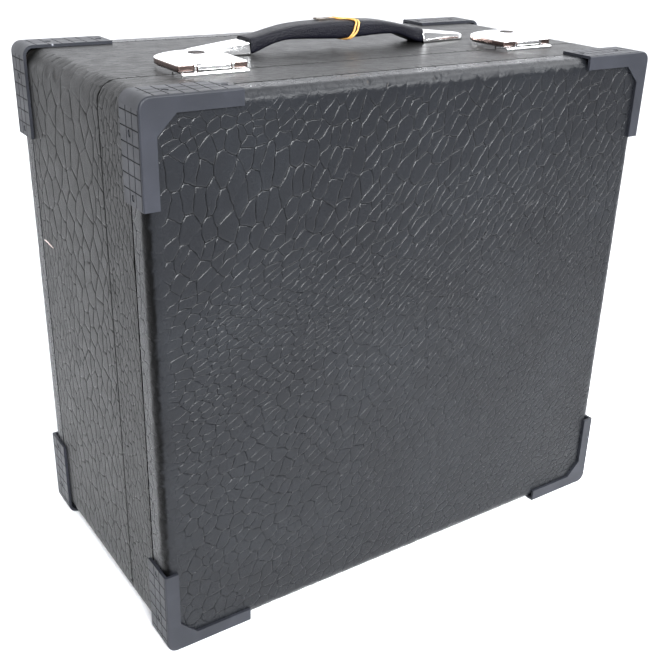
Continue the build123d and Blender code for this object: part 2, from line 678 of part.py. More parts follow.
# ---------------------------------------------------------------- carrying handle
# Boat-shaped chrome end cap: plan outline cut by a falling side profile, hollow from its mouth.
with BuildPart() as handle_cap_left:
    with BuildSketch(Plane.XY.offset(ZT)):
        with BuildLine():
            Line((-CAP_MOUTH, HANDLE_Y - CAP_HALF), (-CAP_MOUTH, HANDLE_Y + CAP_HALF))
            Spline(
                (-CAP_MOUTH, HANDLE_Y + CAP_HALF), (-114, HANDLE_Y + 12.2), (-134, HANDLE_Y + 8.6), (-CAP_TIP, HANDLE_Y),
                (-134, HANDLE_Y - 8.6), (-114, HANDLE_Y - 12.2), (-CAP_MOUTH, HANDLE_Y - CAP_HALF),
            )
        make_face()
    extrude(amount=12)
    with BuildSketch(face_plane(HANDLE_Y + 20)):
        with BuildLine():
            Polyline((-CAP_TIP - 1, ZT), (-CAP_MOUTH, ZT), (-CAP_MOUTH, ZT + 10.6))
            Spline((-CAP_MOUTH, ZT + 10.6), (-114, ZT + 9.6), (-134, ZT + 7.6), (-CAP_TIP - 1, ZT + 3.6))
            Line((-CAP_TIP - 1, ZT + 3.6), (-CAP_TIP - 1, ZT))
        make_face()
    extrude(amount=40, mode=Mode.INTERSECT)
    with BuildSketch(side_plane(-CAP_MOUTH)):
        with Locations((HANDLE_Y, ZT + 4.1)):
            Rectangle(22.0, 8.2)
    extrude(amount=-32, mode=Mode.SUBTRACT)
handle_cap_left.part.label = "handle_cap_left"
export_step(handle_cap_left.part, "parts/handle_cap_left.step")

with BuildPart() as handle_cap_right:
    mirror(handle_cap_left.part, about=Plane.YZ)
handle_cap_right.part.label = "handle_cap_right"
export_step(handle_cap_right.part, "parts/handle_cap_right.step")

# screws that hold the spring-steel straps, inside the caps
with BuildPart() as handle_screws:
    for x, y in CAP_SCREWS:
        with BuildSketch(Plane.XY.offset(ZT + 4.9)):
            with Locations((x, y)):
                Circle(3.6)
        extrude(amount=1.8)
        with BuildSketch(Plane.XY.offset(ZT + 4.9)):
            with Locations((x, y)):
                Circle(1.75)
        extrude(amount=-11.8)
handle_screws.part.label = "handle_screws"
export_step(handle_screws.part, "parts/handle_screws.step")

# spring-steel strap from inside the cap to the pocket in the end of the grip
with BuildPart() as handle_strap_left:
    with BuildSketch(face_plane(HANDLE_Y + STRAP_HALF)):
        with BuildLine():
            strap_line = Polyline((-122, ZT + PIVOT_H), (-95, ZT + PIVOT_H), (-60.5, ZT + 14.5), (-50, ZT + 14.5))
            offset(strap_line, amount=STRAP_T / 2, kind=Kind.INTERSECTION)
        make_face()
    extrude(amount=2 * STRAP_HALF)
    with BuildSketch(Plane.XY.offset(ZT)):
        with Locations((-PIVOT_X, HANDLE_Y)):
            SlotOverall(8.0, 5.0)
    extrude(amount=8, mode=Mode.SUBTRACT)
handle_strap_left.part.label = "handle_strap_left"
export_step(handle_strap_left.part, "parts/handle_strap_left.step")

with BuildPart() as handle_strap_right:
    mirror(handle_strap_left.part, about=Plane.YZ)
handle_strap_right.part.label = "handle_strap_right"
export_step(handle_strap_right.part, "parts/handle_strap_right.step")

# vinyl end section between the cap mouth and the grip, bonded round the strap
with BuildPart() as handle_end_left:
    with BuildSketch(face_plane(HANDLE_Y + GRIP_HALF_W - 0.5)):
        with BuildLine():
            Polyline((-91.2, ZT + 1.2), (-72, ZT + 5.2), (-58.6, ZT + 9.2), (-59.2, ZT + 19.6), (-72, ZT + 16.3), (-90.6, ZT + 11.6), close=True)
        make_face()
    extrude(amount=2 * GRIP_HALF_W - 1.0)
    with BuildSketch(face_plane(HANDLE_Y + STRAP_HALF + 0.02)):
        with BuildLine():
            channel_line = Polyline((-122, ZT + PIVOT_H), (-95, ZT + PIVOT_H), (-60.5, ZT + 14.5), (-50, ZT + 14.5))
            offset(channel_line, amount=STRAP_T / 2 + 0.02, kind=Kind.INTERSECTION)
        make_face()
    extrude(amount=2 * STRAP_HALF + 0.04, mode=Mode.SUBTRACT)
handle_end_left.part.label = "handle_end_left"
export_step(handle_end_left.part, "parts/handle_end_left.step")

with BuildPart() as handle_end_right:
    mirror(handle_end_left.part, about=Plane.YZ)
handle_end_right.part.label = "handle_end_right"
export_step(handle_end_right.part, "parts/handle_end_right.step")

# moulded grip, arched, with a pocket in each end for the strap
with BuildPart() as handle_grip:
    with BuildSketch(face_plane(HANDLE_Y + GRIP_HALF_W)):
        with BuildLine():
            Spline((-GRIP_HALF_L, ZT + 9.6), (-40, ZT + 10.0), (-20, ZT + 9.0), (0, ZT + 8.4), (20, ZT + 9.0), (40, ZT + 10.0), (GRIP_HALF_L, ZT + 9.6))
            Line((GRIP_HALF_L, ZT + 9.6), (GRIP_HALF_L, ZT + 20.1))
            Spline((GRIP_HALF_L, ZT + 20.1), (40, ZT + 22.3), (20, ZT + 23.4), (0, ZT + 23.8), (-20, ZT + 23.4), (-40, ZT + 22.3), (-GRIP_HALF_L, ZT + 20.1))
            Line((-GRIP_HALF_L, ZT + 20.1), (-GRIP_HALF_L, ZT + 9.6))
        make_face()
    extrude(amount=2 * GRIP_HALF_W)
    fillet(handle_grip.edges().filter_by(lambda e: abs(e.center().X) < 1), 2.5)
    for s in (-1, 1):
        with BuildSketch(side_plane(s * GRIP_HALF_L)):
            with Locations((HANDLE_Y, ZT + 14.6)):
                Rectangle(2 * STRAP_HALF + 1.4, 4.8)
        extrude(amount=-s * 9.5, mode=Mode.SUBTRACT)
handle_grip.part.label = "handle_grip"
export_step(handle_grip.part, "parts/handle_grip.step")

# ---------------------------------------------------------------- key tie: rubber band round the grip and two keys
with BuildPart() as rubber_band:
    with BuildSketch(side_plane(6.0)):
        with Locations((HANDLE_Y, ZT + 16.0)):
            RectangleRounded(2 * GRIP_HALF_W + 3.0, 18.8, 3.6)
            RectangleRounded(2 * GRIP_HALF_W + 0.5, 16.4, 2.6, mode=Mode.SUBTRACT)
    extrude(amount=4.0)
rubber_band.part.label = "rubber_band"
export_step(rubber_band.part, "parts/rubber_band.step")

with BuildPart() as keys:
    for y, z, l in ((HANDLE_Y + 1.0, ZT + 24.1, 13.0), (HANDLE_Y + 6.6, ZT + 24.1, 11.0)):
        with BuildSketch(Plane.XY.offset(z)):
            with Locations((-14.0, y)):
                RectangleRounded(9.0, 5.0, 2.2)
            with Locations((-9.6 + l / 2, y)):
                Rectangle(l, 2.4)
            with Locations((-16.2, y)):
                Circle(1.2, mode=Mode.SUBTRACT)
        extrude(amount=1.2)
keys.part.label = "keys"
export_step(keys.part, "parts/keys.step")
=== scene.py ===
import math

import bmesh
import bpy
import numpy as np
from mathutils import Matrix, Vector, geometry, noise


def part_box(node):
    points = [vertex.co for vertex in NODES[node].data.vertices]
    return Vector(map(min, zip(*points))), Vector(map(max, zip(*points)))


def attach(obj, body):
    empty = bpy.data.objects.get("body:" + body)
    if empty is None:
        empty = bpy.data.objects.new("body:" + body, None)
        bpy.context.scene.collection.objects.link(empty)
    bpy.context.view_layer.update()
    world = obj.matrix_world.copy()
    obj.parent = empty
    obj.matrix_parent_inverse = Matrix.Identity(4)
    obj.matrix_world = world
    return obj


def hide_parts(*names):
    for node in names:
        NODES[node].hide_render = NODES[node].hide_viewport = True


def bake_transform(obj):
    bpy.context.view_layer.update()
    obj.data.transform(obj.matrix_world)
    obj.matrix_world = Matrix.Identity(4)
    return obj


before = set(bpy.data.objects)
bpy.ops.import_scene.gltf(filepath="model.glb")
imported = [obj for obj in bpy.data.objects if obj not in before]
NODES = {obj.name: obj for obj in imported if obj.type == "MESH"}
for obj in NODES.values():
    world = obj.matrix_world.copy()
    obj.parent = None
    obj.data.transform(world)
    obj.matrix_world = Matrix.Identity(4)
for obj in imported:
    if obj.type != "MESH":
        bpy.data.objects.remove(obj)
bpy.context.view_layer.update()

MM = 0.001

# ---------------------------------------------------------------- sizes of the case (mm)
W, H, D = 500.0, 464.0, 267.0
T = 2.6
ZT = T + H
ZC = T + H / 2
YF, YB = -D / 2, D / 2
YS = YF + 78.0
SEAM = 0.5
FOLD = 25.0
R_SIDE = 16.0
R_FACE = 10.0


# ================================================================ materials
def new_mat(name):
    m = bpy.data.materials.new(name)
    m.use_nodes = True
    nt = m.node_tree
    nt.nodes.clear()
    out = nt.nodes.new("ShaderNodeOutputMaterial")
    bsdf = nt.nodes.new("ShaderNodeBsdfPrincipled")
    nt.links.new(bsdf.outputs["BSDF"], out.inputs["Surface"])
    return m, nt, bsdf


def node(nt, kind, **inputs):
    n = nt.nodes.new(kind)
    for k, v in inputs.items():
        key = k.replace("_", " ")
        if key in n.inputs:
            n.inputs[key].default_value = v
    return n


def coords(nt, scale=(1, 1, 1), rot=(0, 0, 0)):
    tc = nt.nodes.new("ShaderNodeTexCoord")
    mp = nt.nodes.new("ShaderNodeMapping")
    mp.inputs["Scale"].default_value = scale
    mp.inputs["Rotation"].default_value = rot
    nt.links.new(tc.outputs["Object"], mp.inputs["Vector"])
    return mp.outputs["Vector"]


def noise_tex(nt, vec, scale, detail=4.0, rough=0.55, distortion=0.0):
    n = nt.nodes.new("ShaderNodeTexNoise")
    n.inputs["Scale"].default_value = scale
    n.inputs["Detail"].default_value = detail
    n.inputs["Roughness"].default_value = rough
    n.inputs["Distortion"].default_value = distortion
    nt.links.new(vec, n.inputs["Vector"])
    return n.outputs["Fac"]


def voronoi(nt, vec, scale, feature="F1", randomness=1.0):
    n = nt.nodes.new("ShaderNodeTexVoronoi")
    n.feature = feature
    n.inputs["Scale"].default_value = scale
    n.inputs["Randomness"].default_value = randomness
    nt.links.new(vec, n.inputs["Vector"])
    return n.outputs["Distance"]


def ramp(nt, fac, stops):
    n = nt.nodes.new("ShaderNodeValToRGB")
    cr = n.color_ramp
    while len(cr.elements) < len(stops):
        cr.elements.new(0.5)
    for e, (pos, col) in zip(cr.elements, stops):
        e.position = pos
        e.color = (col[0], col[1], col[2], 1.0) if hasattr(col, "__len__") else (col, col, col, 1.0)
    nt.links.new(fac, n.inputs["Fac"])
    return n.outputs["Color"]


def maprange(nt, fac, a, b, c, d):
    n = nt.nodes.new("ShaderNodeMapRange")
    n.inputs["From Min"].default_value = a
    n.inputs["From Max"].default_value = b
    n.inputs["To Min"].default_value = c
    n.inputs["To Max"].default_value = d
    nt.links.new(fac, n.inputs["Value"])
    return n.outputs["Result"]


def math_node(nt, op, a, b=None):
    n = nt.nodes.new("ShaderNodeMath")
    n.operation = op
    for i, v in enumerate((a, b)):
        if v is None:
            continue
        if isinstance(v, (int, float)):
            n.inputs[i].default_value = v
        else:
            nt.links.new(v, n.inputs[i])
    return n.outputs[0]


def mix_col(nt, fac, a, b, mode="MIX"):
    n = nt.nodes.new("ShaderNodeMix")
    n.data_type = "RGBA"
    n.blend_type = mode
    if isinstance(fac, (int, float)):
        n.inputs["Factor"].default_value = fac
    else:
        nt.links.new(fac, n.inputs["Factor"])
    for key, v in (("A", a), ("B", b)):
        sock = [s for s in n.inputs if s.name == key and s.type == "RGBA"][0]
        if hasattr(v, "__len__"):
            sock.default_value = (v[0], v[1], v[2], 1.0)
        else:
            nt.links.new(v, sock)
    return [s for s in n.outputs if s.type == "RGBA"][0]


def bump(nt, height, strength, distance, normal=None):
    n = nt.nodes.new("ShaderNodeBump")
    n.inputs["Strength"].default_value = strength
    n.inputs["Distance"].default_value = distance
    nt.links.new(height, n.inputs["Height"])
    if normal is not None:
        nt.links.new(normal, n.inputs["Normal"])
    return n.outputs["Normal"]


def vinyl_material(name, base, light, rough, grain=1.0, spec=0.5, groove=False):
    """Black embossed vinyl: slight tone changes, fine leather grain, dusty highs. With groove set, painted shade
    darkens the colour and the reflection where the groove attribute is high.
    """
    m, nt, b = new_mat(name)
    v = coords(nt)
    big = noise_tex(nt, v, 9.0, 3.0, 0.6)
    mid = noise_tex(nt, v, 60.0, 4.0, 0.6)
    fine = noise_tex(nt, v, 900.0, 3.0, 0.7)
    pores = voronoi(nt, v, 700.0)
    c1 = ramp(nt, big, [(0.35, base), (0.7, light)])
    dark = tuple(x * 0.72 for x in base)
    c2 = mix_col(nt, maprange(nt, mid, 0.3, 0.75, 0.0, 0.55), c1, dark)
    c3 = mix_col(nt, maprange(nt, fine, 0.62, 0.85, 0.0, 0.35), c2, tuple(min(1, x * 1.9) for x in light))
    nt.links.new(c3, b.inputs["Base Color"])
    r = maprange(nt, mid, 0.25, 0.8, rough - 0.05, rough + 0.08)
    nt.links.new(r, b.inputs["Roughness"])
    n1 = bump(nt, fine, 0.35 * min(grain, 1.5), 0.0004)
    n2 = bump(nt, pores, 0.30 * min(grain, 1.5), 0.0003, n1)
    if grain > 1.8:
        n2 = bump(nt, voronoi(nt, v, 800.0), 0.7, 0.0006, n2)
    nt.links.new(n2, b.inputs["Normal"])
    b.inputs["Specular IOR Level"].default_value = spec
    if groove:
        # painted shade: the groove bottoms and the painted edge band are darkened in colour and in reflection tint
        at = nt.nodes.new("ShaderNodeAttribute")
        at.attribute_name = "groove"
        groove_painted_shade = maprange(nt, at.outputs["Fac"], 0.38, 0.85, 0.0, 1.0)
        nt.links.new(mix_col(nt, groove_painted_shade, c3, (0.003, 0.003, 0.003)), b.inputs["Base Color"])
        nt.links.new(mix_col(nt, groove_painted_shade, (1.0, 1.0, 1.0), (0.12, 0.12, 0.13)), b.inputs["Specular Tint"])
    return m


def plastic_material(name, base, light, rough):
    m, nt, b = new_mat(name)
    v = coords(nt)
    big = noise_tex(nt, v, 14.0, 3.0, 0.55)
    smudge = noise_tex(nt, v, 45.0, 5.0, 0.65, 0.6)
    fine = noise_tex(nt, v, 1400.0, 2.0, 0.6)
    scr = noise_tex(nt, coords(nt, (90, 30, 900), (0.3, 0.5, 0.2)), 1.0, 2.0, 0.5)
    c1 = ramp(nt, big, [(0.35, base), (0.7, light)])
    c2 = mix_col(nt, maprange(nt, smudge, 0.55, 0.8, 0.0, 0.35), c1, tuple(min(1, x * 1.6) for x in light))
    c3 = mix_col(nt, maprange(nt, scr, 0.72, 0.8, 0.0, 0.25), c2, tuple(min(1, x * 2.4) for x in light))
    flecks = maprange(nt, voronoi(nt, coords(nt, (1, 1.3, 0.8), (0.4, 0.2, 0.1)), 75.0), 0.05, 0.085, 1.0, 0.0)
    patchy = maprange(nt, noise_tex(nt, v, 20.0, 2.0, 0.5), 0.55, 0.60, 0.0, 0.8)
    c3 = mix_col(nt, math_node(nt, "MULTIPLY", flecks, patchy), c3, (0.30, 0.30, 0.33))
    nt.links.new(c3, b.inputs["Base Color"])
    nt.links.new(maprange(nt, smudge, 0.3, 0.75, rough + 0.04, rough - 0.07), b.inputs["Roughness"])
    n1 = bump(nt, fine, 0.16, 0.0002)
    nt.links.new(n1, b.inputs["Normal"])
    b.inputs["Specular IOR Level"].default_value = 0.2
    return m


def chrome_material(name, tint=(0.95, 0.945, 0.94), rough=0.075):
    m, nt, b = new_mat(name)
    v = coords(nt)
    big = noise_tex(nt, v, 30.0, 3.0, 0.6)
    fine = noise_tex(nt, v, 260.0, 4.0, 0.65)
    pits = voronoi(nt, v, 420.0)
    c = ramp(nt, big, [(0.3, tuple(x * 0.93 for x in tint)), (0.7, tint)])
    c2 = mix_col(nt, maprange(nt, pits, 0.0, 0.09, 0.5, 0.0), c, (0.35, 0.30, 0.26))
    nt.links.new(c2, b.inputs["Base Color"])
    b.inputs["Metallic"].default_value = 1.0
    nt.links.new(maprange(nt, fine, 0.35, 0.8, rough, rough + 0.09), b.inputs["Roughness"])
    nt.links.new(bump(nt, fine, 0.05, 0.0002), b.inputs["Normal"])
    return m


def steel_material(name, tint=(0.5, 0.5, 0.52), rough=0.34):
    m, nt, b = new_mat(name)
    streak = noise_tex(nt, coords(nt, (1, 30, 30)), 60.0, 3.0, 0.6)
    blot = noise_tex(nt, coords(nt), 70.0, 4.0, 0.6)
    c = ramp(nt, blot, [(0.3, tuple(x * 0.8 for x in tint)), (0.72, tint)])
    nt.links.new(c, b.inputs["Base Color"])
    b.inputs["Metallic"].default_value = 1.0
    nt.links.new(maprange(nt, streak, 0.3, 0.7, rough - 0.06, rough + 0.08), b.inputs["Roughness"])
    nt.links.new(bump(nt, streak, 0.08, 0.0002), b.inputs["Normal"])
    return m


def wood_material(name, dark, light, rough=0.6):
    m, nt, b = new_mat(name)
    v = coords(nt, (1.0, 6.0, 1.0))
    rings = noise_tex(nt, coords(nt, (3, 40, 40)), 6.0, 5.0, 0.6, 0.4)
    fib = noise_tex(nt, coords(nt, (20, 400, 400)), 3.0, 3.0, 0.6)
    c = ramp(nt, rings, [(0.3, dark), (0.7, light)])
    c2 = mix_col(nt, maprange(nt, fib, 0.4, 0.75, 0.0, 0.5), c, dark)
    nt.links.new(c2, b.inputs["Base Color"])
    nt.links.new(maprange(nt, fib, 0.3, 0.8, rough - 0.06, rough + 0.12), b.inputs["Roughness"])
    nt.links.new(bump(nt, fib, 0.2, 0.0003), b.inputs["Normal"])
    return m


def plush_material(name, base, light):
    m, nt, b = new_mat(name)
    v = coords(nt)
    pile = noise_tex(nt, v, 1500.0, 2.0, 0.7)
    brushed = noise_tex(nt, coords(nt, (1, 1, 2.2)), 26.0, 4.0, 0.6, 1.2)
    c = ramp(nt, brushed, [(0.30, tuple(0.55 * x + 0.45 * y for x, y in zip(base, light))), (0.74, light)])
    c2 = mix_col(nt, maprange(nt, pile, 0.35, 0.7, 0.45, 0.0), c, tuple(x * 0.45 for x in base))
    nt.links.new(c2, b.inputs["Base Color"])
    b.inputs["Roughness"].default_value = 0.9
    b.inputs["Sheen Weight"].default_value = 0.55
    b.inputs["Sheen Roughness"].default_value = 0.35
    b.inputs["Sheen Tint"].default_value = (0.9, 0.35, 0.4, 1)
    nt.links.new(bump(nt, pile, 0.5, 0.0006, bump(nt, brushed, 0.25, 0.0012)), b.inputs["Normal"])
    return m


def rubber_material(name, base, light):
    m, nt, b = new_mat(name)
    v = coords(nt)
    n = noise_tex(nt, v, 120.0, 4.0, 0.6)
    f = noise_tex(nt, v, 900.0, 2.0, 0.6)
    nt.links.new(ramp(nt, n, [(0.3, base), (0.7, light)]), b.inputs["Base Color"])
    nt.links.new(maprange(nt, f, 0.3, 0.7, 0.42, 0.6), b.inputs["Roughness"])
    nt.links.new(bump(nt, f, 0.15, 0.0002), b.inputs["Normal"])
    b.inputs["Subsurface Weight"].default_value = 0.15
    b.inputs["Subsurface Radius"].default_value = (0.002, 0.001, 0.0005)
    return m


def scratch_material(name):
    m, nt, b = new_mat(name)
    v = coords(nt)
    n = noise_tex(nt, v, 700.0, 3.0, 0.6)
    nt.links.new(ramp(nt, n, [(0.35, (0.55, 0.30, 0.26)), (0.6, (0.86, 0.80, 0.76))]), b.inputs["Base Color"])
    b.inputs["Roughness"].default_value = 0.8
    return m


M_FRONT = vinyl_material("embossed_vinyl_front", (0.0065, 0.007, 0.0085), (0.0095, 0.0105, 0.0125), 0.27, spec=0.165, groove=True)
M_SIDE = vinyl_material("embossed_vinyl_side", (0.0075, 0.0075, 0.0072), (0.011, 0.011, 0.0105), 0.38, spec=0.14, groove=True)
M_GRIP = vinyl_material("grained_vinyl", (0.0025, 0.0025, 0.005), (0.004, 0.004, 0.008), 0.38, grain=2.4, spec=0.13)
M_PLASTIC = plastic_material("corner_plastic", (0.0125, 0.0135, 0.0172), (0.022, 0.0233, 0.0295), 0.44)
M_RIVET = steel_material("blackened_rivet", (0.02, 0.02, 0.022), 0.4)
M_CHROME = chrome_material("bright_chrome")
# painted shade and reflection: a dark brownish copy of the chrome, for the latch flanks that mirror the dark case
M_CHROME_FLANK_SHADE = chrome_material("chrome_flank_painted_shade", (0.20, 0.145, 0.13), 0.22)
M_STEEL = steel_material("zinc_steel")
# painted shade: the lock plugs get a near-black steel, for the dark they show from this side
M_PLUG = steel_material("lock_plug_painted_shade", (0.035, 0.025, 0.022), 0.5)
M_WOOD = wood_material("stained_plywood", (0.012, 0.010, 0.009), (0.035, 0.028, 0.022), 0.7)
M_RIM = wood_material("rim_wood", (0.02, 0.014, 0.010), (0.055, 0.038, 0.026), 0.5)
M_PLUSH = plush_material("red_plush", (0.085, 0.0032, 0.008), (0.155, 0.0065, 0.0145))
M_BAND = rubber_material("ochre_rubber", (0.46, 0.22, 0.045), (0.60, 0.33, 0.09))
M_KEY = steel_material("key_metal", (0.26, 0.22, 0.18), 0.28)
M_SCRATCH = scratch_material("scuff")


def give(obj, mat):
    obj.data.materials.clear()
    obj.data.materials.append(mat)
    for p in obj.data.polygons:
        p.material_index = 0


# ================================================================ mesh helpers
def mesh_object(name, verts, faces, mat, smooth=True, sharp=None):
    me = bpy.data.meshes.new(name)
    me.from_pydata([tuple(float(c) for c in v) for v in verts], [], faces)
    me.update()
    if smooth:
        me.polygons.foreach_set("use_smooth", [True] * len(me.polygons))
    ob = bpy.data.objects.new(name, me)
    bpy.context.scene.collection.objects.link(ob)
    me.materials.append(mat)
    return ob


def from_bmesh(name, bm, mat, smooth=True):
    me = bpy.data.meshes.new(name)
    bm.to_mesh(me)
    bm.free()
    if smooth:
        me.polygons.foreach_set("use_smooth", [True] * len(me.polygons))
    ob = bpy.data.objects.new(name, me)
    bpy.context.scene.collection.objects.link(ob)
    me.materials.append(mat)
    return ob


def finish_piece(ob, body, slot, *nodes):
    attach(ob, body)
    if nodes:
        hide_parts(*nodes)
    return ob


# ================================================================ embossed scale pattern
def smooth_noise(p, scale, seed):
    return noise.noise(Vector((p[0] * scale + seed * 7.31, p[1] * scale - seed * 3.17, seed * 1.7)))


def field_from(points):
    """Local cell size, elongation, direction and depth, blended between control points."""
    pos = np.array([(a, b) for a, b, *_ in points], float)
    val = []
    for _, _, size, elong, ang, depth in points:
        t = math.radians(ang)
        val.append((math.log(size), math.log(elong) * math.cos(2 * t), math.log(elong) * math.sin(2 * t), depth))
    val = np.array(val)

    def field(q):
        q = np.atleast_2d(np.asarray(q, float))
        d2 = ((q[:, None, :] - pos[None]) ** 2).sum(2) + 60.0
        w = d2 ** -1.6
        w /= w.sum(1, keepdims=True)
        v = w @ val
        e = np.hypot(v[:, 1], v[:, 2])
        return np.exp(v[:, 0]), np.exp(e), 0.5 * np.arctan2(v[:, 2], v[:, 1]), v[:, 3]

    return field


def scatter(rect, field, tries, seed, period=None):
    """Seed points at the field's local spacing, closer across the grain than along it."""
    rng = np.random.default_rng(seed)
    x0, x1, y0, y1 = rect
    q = np.column_stack([rng.uniform(x0, x1, tries), rng.uniform(y0, y1, tries)])
    size, elong, ang, _ = field(q)
    jit = rng.uniform(0.70, 1.22, tries)
    along, across = size * np.sqrt(elong) * jit * 0.80, size / np.sqrt(elong) * jit * 0.80
    ca, sa = np.cos(ang), np.sin(ang)
    kept = np.zeros((tries, 2))
    n = 0
    cell = 12.0
    grid = {}
    for i in range(tries):
        px, py = q[i]
        a, c = along[i], across[i]
        gx, gy = int(px // cell), int(py // cell)
        reach = int(a // cell) + 1
        ok = True
        for ix in range(gx - reach, gx + reach + 1):
            for iy in range(gy - reach, gy + reach + 1):
                for j in grid.get((ix, iy), ()):
                    dx, dy = kept[j][0] - px, kept[j][1] - py
                    u = (dx * ca[i] + dy * sa[i]) / a
                    v = (-dx * sa[i] + dy * ca[i]) / c
                    if u * u + v * v < 1.0:
                        ok = False
                        break
                if not ok:
                    break
            if not ok:
                break
        if ok:
            kept[n] = (px, py)
            grid.setdefault((gx, gy), []).append(n)
            n += 1
    return kept[:n]


def scale_pattern(rect, seeds, field, seed, depth=0.55, lip=0.05, dome=0.10, wall=0.62, step=4.5, warp=1.3, rings=2,
                  pitch=0.6, missing=0.06):
    """Scales as a flat mesh: (x, y, height) points and faces, and which edges are groove bottoms.
    Each scale is the region nearest to its seed, measured along and across the local grain, and is a slightly
    crowned plate between narrow grooves."""
    x0, x1, y0, y1 = rect
    real = len(seeds)
    m = 40.0
    size, elong, ang, _ = field(seeds)
    rows = [np.column_stack([seeds, size * np.sqrt(elong), size / np.sqrt(elong), ang])]
    s = rows[0]
    for axis, edge in ((0, x0), (0, x1)):
        near = s[np.abs(s[:, axis] - edge) < m].copy()
        near[:, 0] = 2 * edge - near[:, 0]
        near[:, 4] = -near[:, 4]
        rows.append(near)
    s = np.vstack(rows)
    rows = [s]
    for edge in (y0, y1):
        near = s[np.abs(s[:, 1] - edge) < m].copy()
        near[:, 1] = 2 * edge - near[:, 1]
        near[:, 4] = -near[:, 4]
        rows.append(near)
    s = np.vstack(rows)
    # raster of the nearest seed
    pad = 3.0
    nx, ny = int(math.ceil((x1 - x0 + 2 * pad) / pitch)), int(math.ceil((y1 - y0 + 2 * pad) / pitch))
    gx = x0 - pad + (np.arange(nx) + 0.5) * pitch
    gy = y0 - pad + (np.arange(ny) + 0.5) * pitch
    best = np.full((nx, ny), 1e18)
    label = np.full((nx, ny), -1, np.int32)
    for i, (px, py, al, ac, an) in enumerate(s):
        r = al * 2.6
        i0, i1 = max(0, int((px - r - gx[0]) / pitch)), min(nx, int((px + r - gx[0]) / pitch) + 2)
        j0, j1 = max(0, int((py - r - gy[0]) / pitch)), min(ny, int((py + r - gy[0]) / pitch) + 2)
        if i0 >= i1 or j0 >= j1:
            continue
        dx, dy = gx[i0:i1, None] - px, gy[None, j0:j1] - py
        c_, s_ = math.cos(an), math.sin(an)
        d = ((dx * c_ + dy * s_) / al) ** 2 + ((-dx * s_ + dy * c_) / ac) ** 2
        w = best[i0:i1, j0:j1]
        take = d < w
        w[take] = d[take]
        label[i0:i1, j0:j1][take] = i
    # corners: places where three or more scales meet
    quad = np.stack([label[:-1, :-1], label[1:, :-1], label[:-1, 1:], label[1:, 1:]], -1)
    srt = np.sort(quad, -1)
    kinds = 1 + (srt[..., 1:] != srt[..., :-1]).sum(-1)
    at = np.argwhere(kinds >= 3)
    corners, members, snap = [], [], {}
    for i, j in at:
        x, y = gx[i] + pitch / 2, gy[j] + pitch / 2
        near = None
        ci, cj = int(x // 1.5), int(y // 1.5)
        for a_ in (ci - 1, ci, ci + 1):
            for b_ in (cj - 1, cj, cj + 1):
                for k in snap.get((a_, b_), ()):
                    if (corners[k][0] - x) ** 2 + (corners[k][1] - y) ** 2 < 1.9:
                        near = k
        if near is None:
            near = len(corners)
            corners.append((x, y))
            members.append(set())
            snap.setdefault((ci, cj), []).append(near)
        members[near] |= set(int(v) for v in quad[i, j])
    snapped = []
    for x, y in corners:
        if abs(x - x0) < 1.2:
            x = x0
        if abs(x - x1) < 1.2:
            x = x1
        if abs(y - y0) < 1.2:
            y = y0
        if abs(y - y1) < 1.2:
            y = y1
        snapped.append((x, y))
    corners = snapped
    # the sheet's own corners
    inside = [k for k, (x, y) in enumerate(corners) if x0 <= x <= x1 and y0 <= y <= y1]
    for qx, qy in ((x0, y0), (x0, y1), (x1, y0), (x1, y1)):
        k = min(inside, key=lambda c: (corners[c][0] - qx) ** 2 + (corners[c][1] - qy) ** 2)
        if math.hypot(corners[k][0] - qx, corners[k][1] - qy) < 3.0:
            corners[k] = (qx, qy)
        else:
            own = int(np.argmin(((seeds - (qx, qy)) ** 2).sum(1)))
            corners.append((qx, qy))
            members.append({own})
            inside.append(len(corners) - 1)
    ring_of = {}
    for k in inside:
        for v in members[k]:
            if 0 <= v < real:
                ring_of.setdefault(v, []).append(k)
    cells = []
    for v, ks in sorted(ring_of.items()):
        if len(ks) < 3:
            continue
        pts = np.array([corners[k] for k in ks])
        c_, s_ = math.cos(s[v, 4]), math.sin(s[v, 4])
        d = pts - pts.mean(0)
        aa, bb = (d[:, 0] * c_ + d[:, 1] * s_) / s[v, 2], (-d[:, 0] * s_ + d[:, 1] * c_) / s[v, 3]
        order = np.argsort(np.arctan2(bb, aa))
        cells.append((v, [ks[i] for i in order]))
    rng = np.random.default_rng(seed + 5)
    V, F, sharp = [], [], []
    edge_pts, corner_id, edge_f = {}, {}, {}

    def warped(x, y):
        if not warp:
            return x, y
        ex = min(1.0, max(0.0, min(x - x0, x1 - x)) / 4.0)
        ey = min(1.0, max(0.0, min(y - y0, y1 - y)) / 4.0)
        dx = smooth_noise((x, y), 0.085, seed) * warp + smooth_noise((x, y), 0.3, seed + 3) * warp * 0.35
        dy = smooth_noise((x + 300, y), 0.085, seed + 1) * warp + smooth_noise((x, y + 200), 0.3, seed + 4) * warp * 0.35
        return x + dx * ex, y + dy * ey

    def on_rim(a, b):
        (ax, ay), (bx, by) = corners[a], corners[b]
        return (ax == bx and ax in (x0, x1)) or (ay == by and ay in (y0, y1))

    def strength(k1, k2):
        k = (min(k1, k2), max(k1, k2))
        if k not in edge_f:
            r = rng.random()
            edge_f[k] = 1.0 if on_rim(k1, k2) else (0.0 if r < missing else 0.45 + 0.55 * rng.random())
        return edge_f[k]

    f_corner = {}
    for v, ks in cells:
        for a, b in zip(ks, ks[1:] + ks[:1]):
            f = strength(a, b)
            for k in (a, b):
                f_corner[k] = max(f_corner.get(k, 0.0), f * 0.95)
    def vert(x, y, z):
        V.append((x, y, z))
        return len(V) - 1

    def corner(k):
        if k not in corner_id:
            x, y = warped(*corners[k])
            corner_id[k] = (vert(x, y, 0.0), f_corner[k], x, y)
        return corner_id[k]

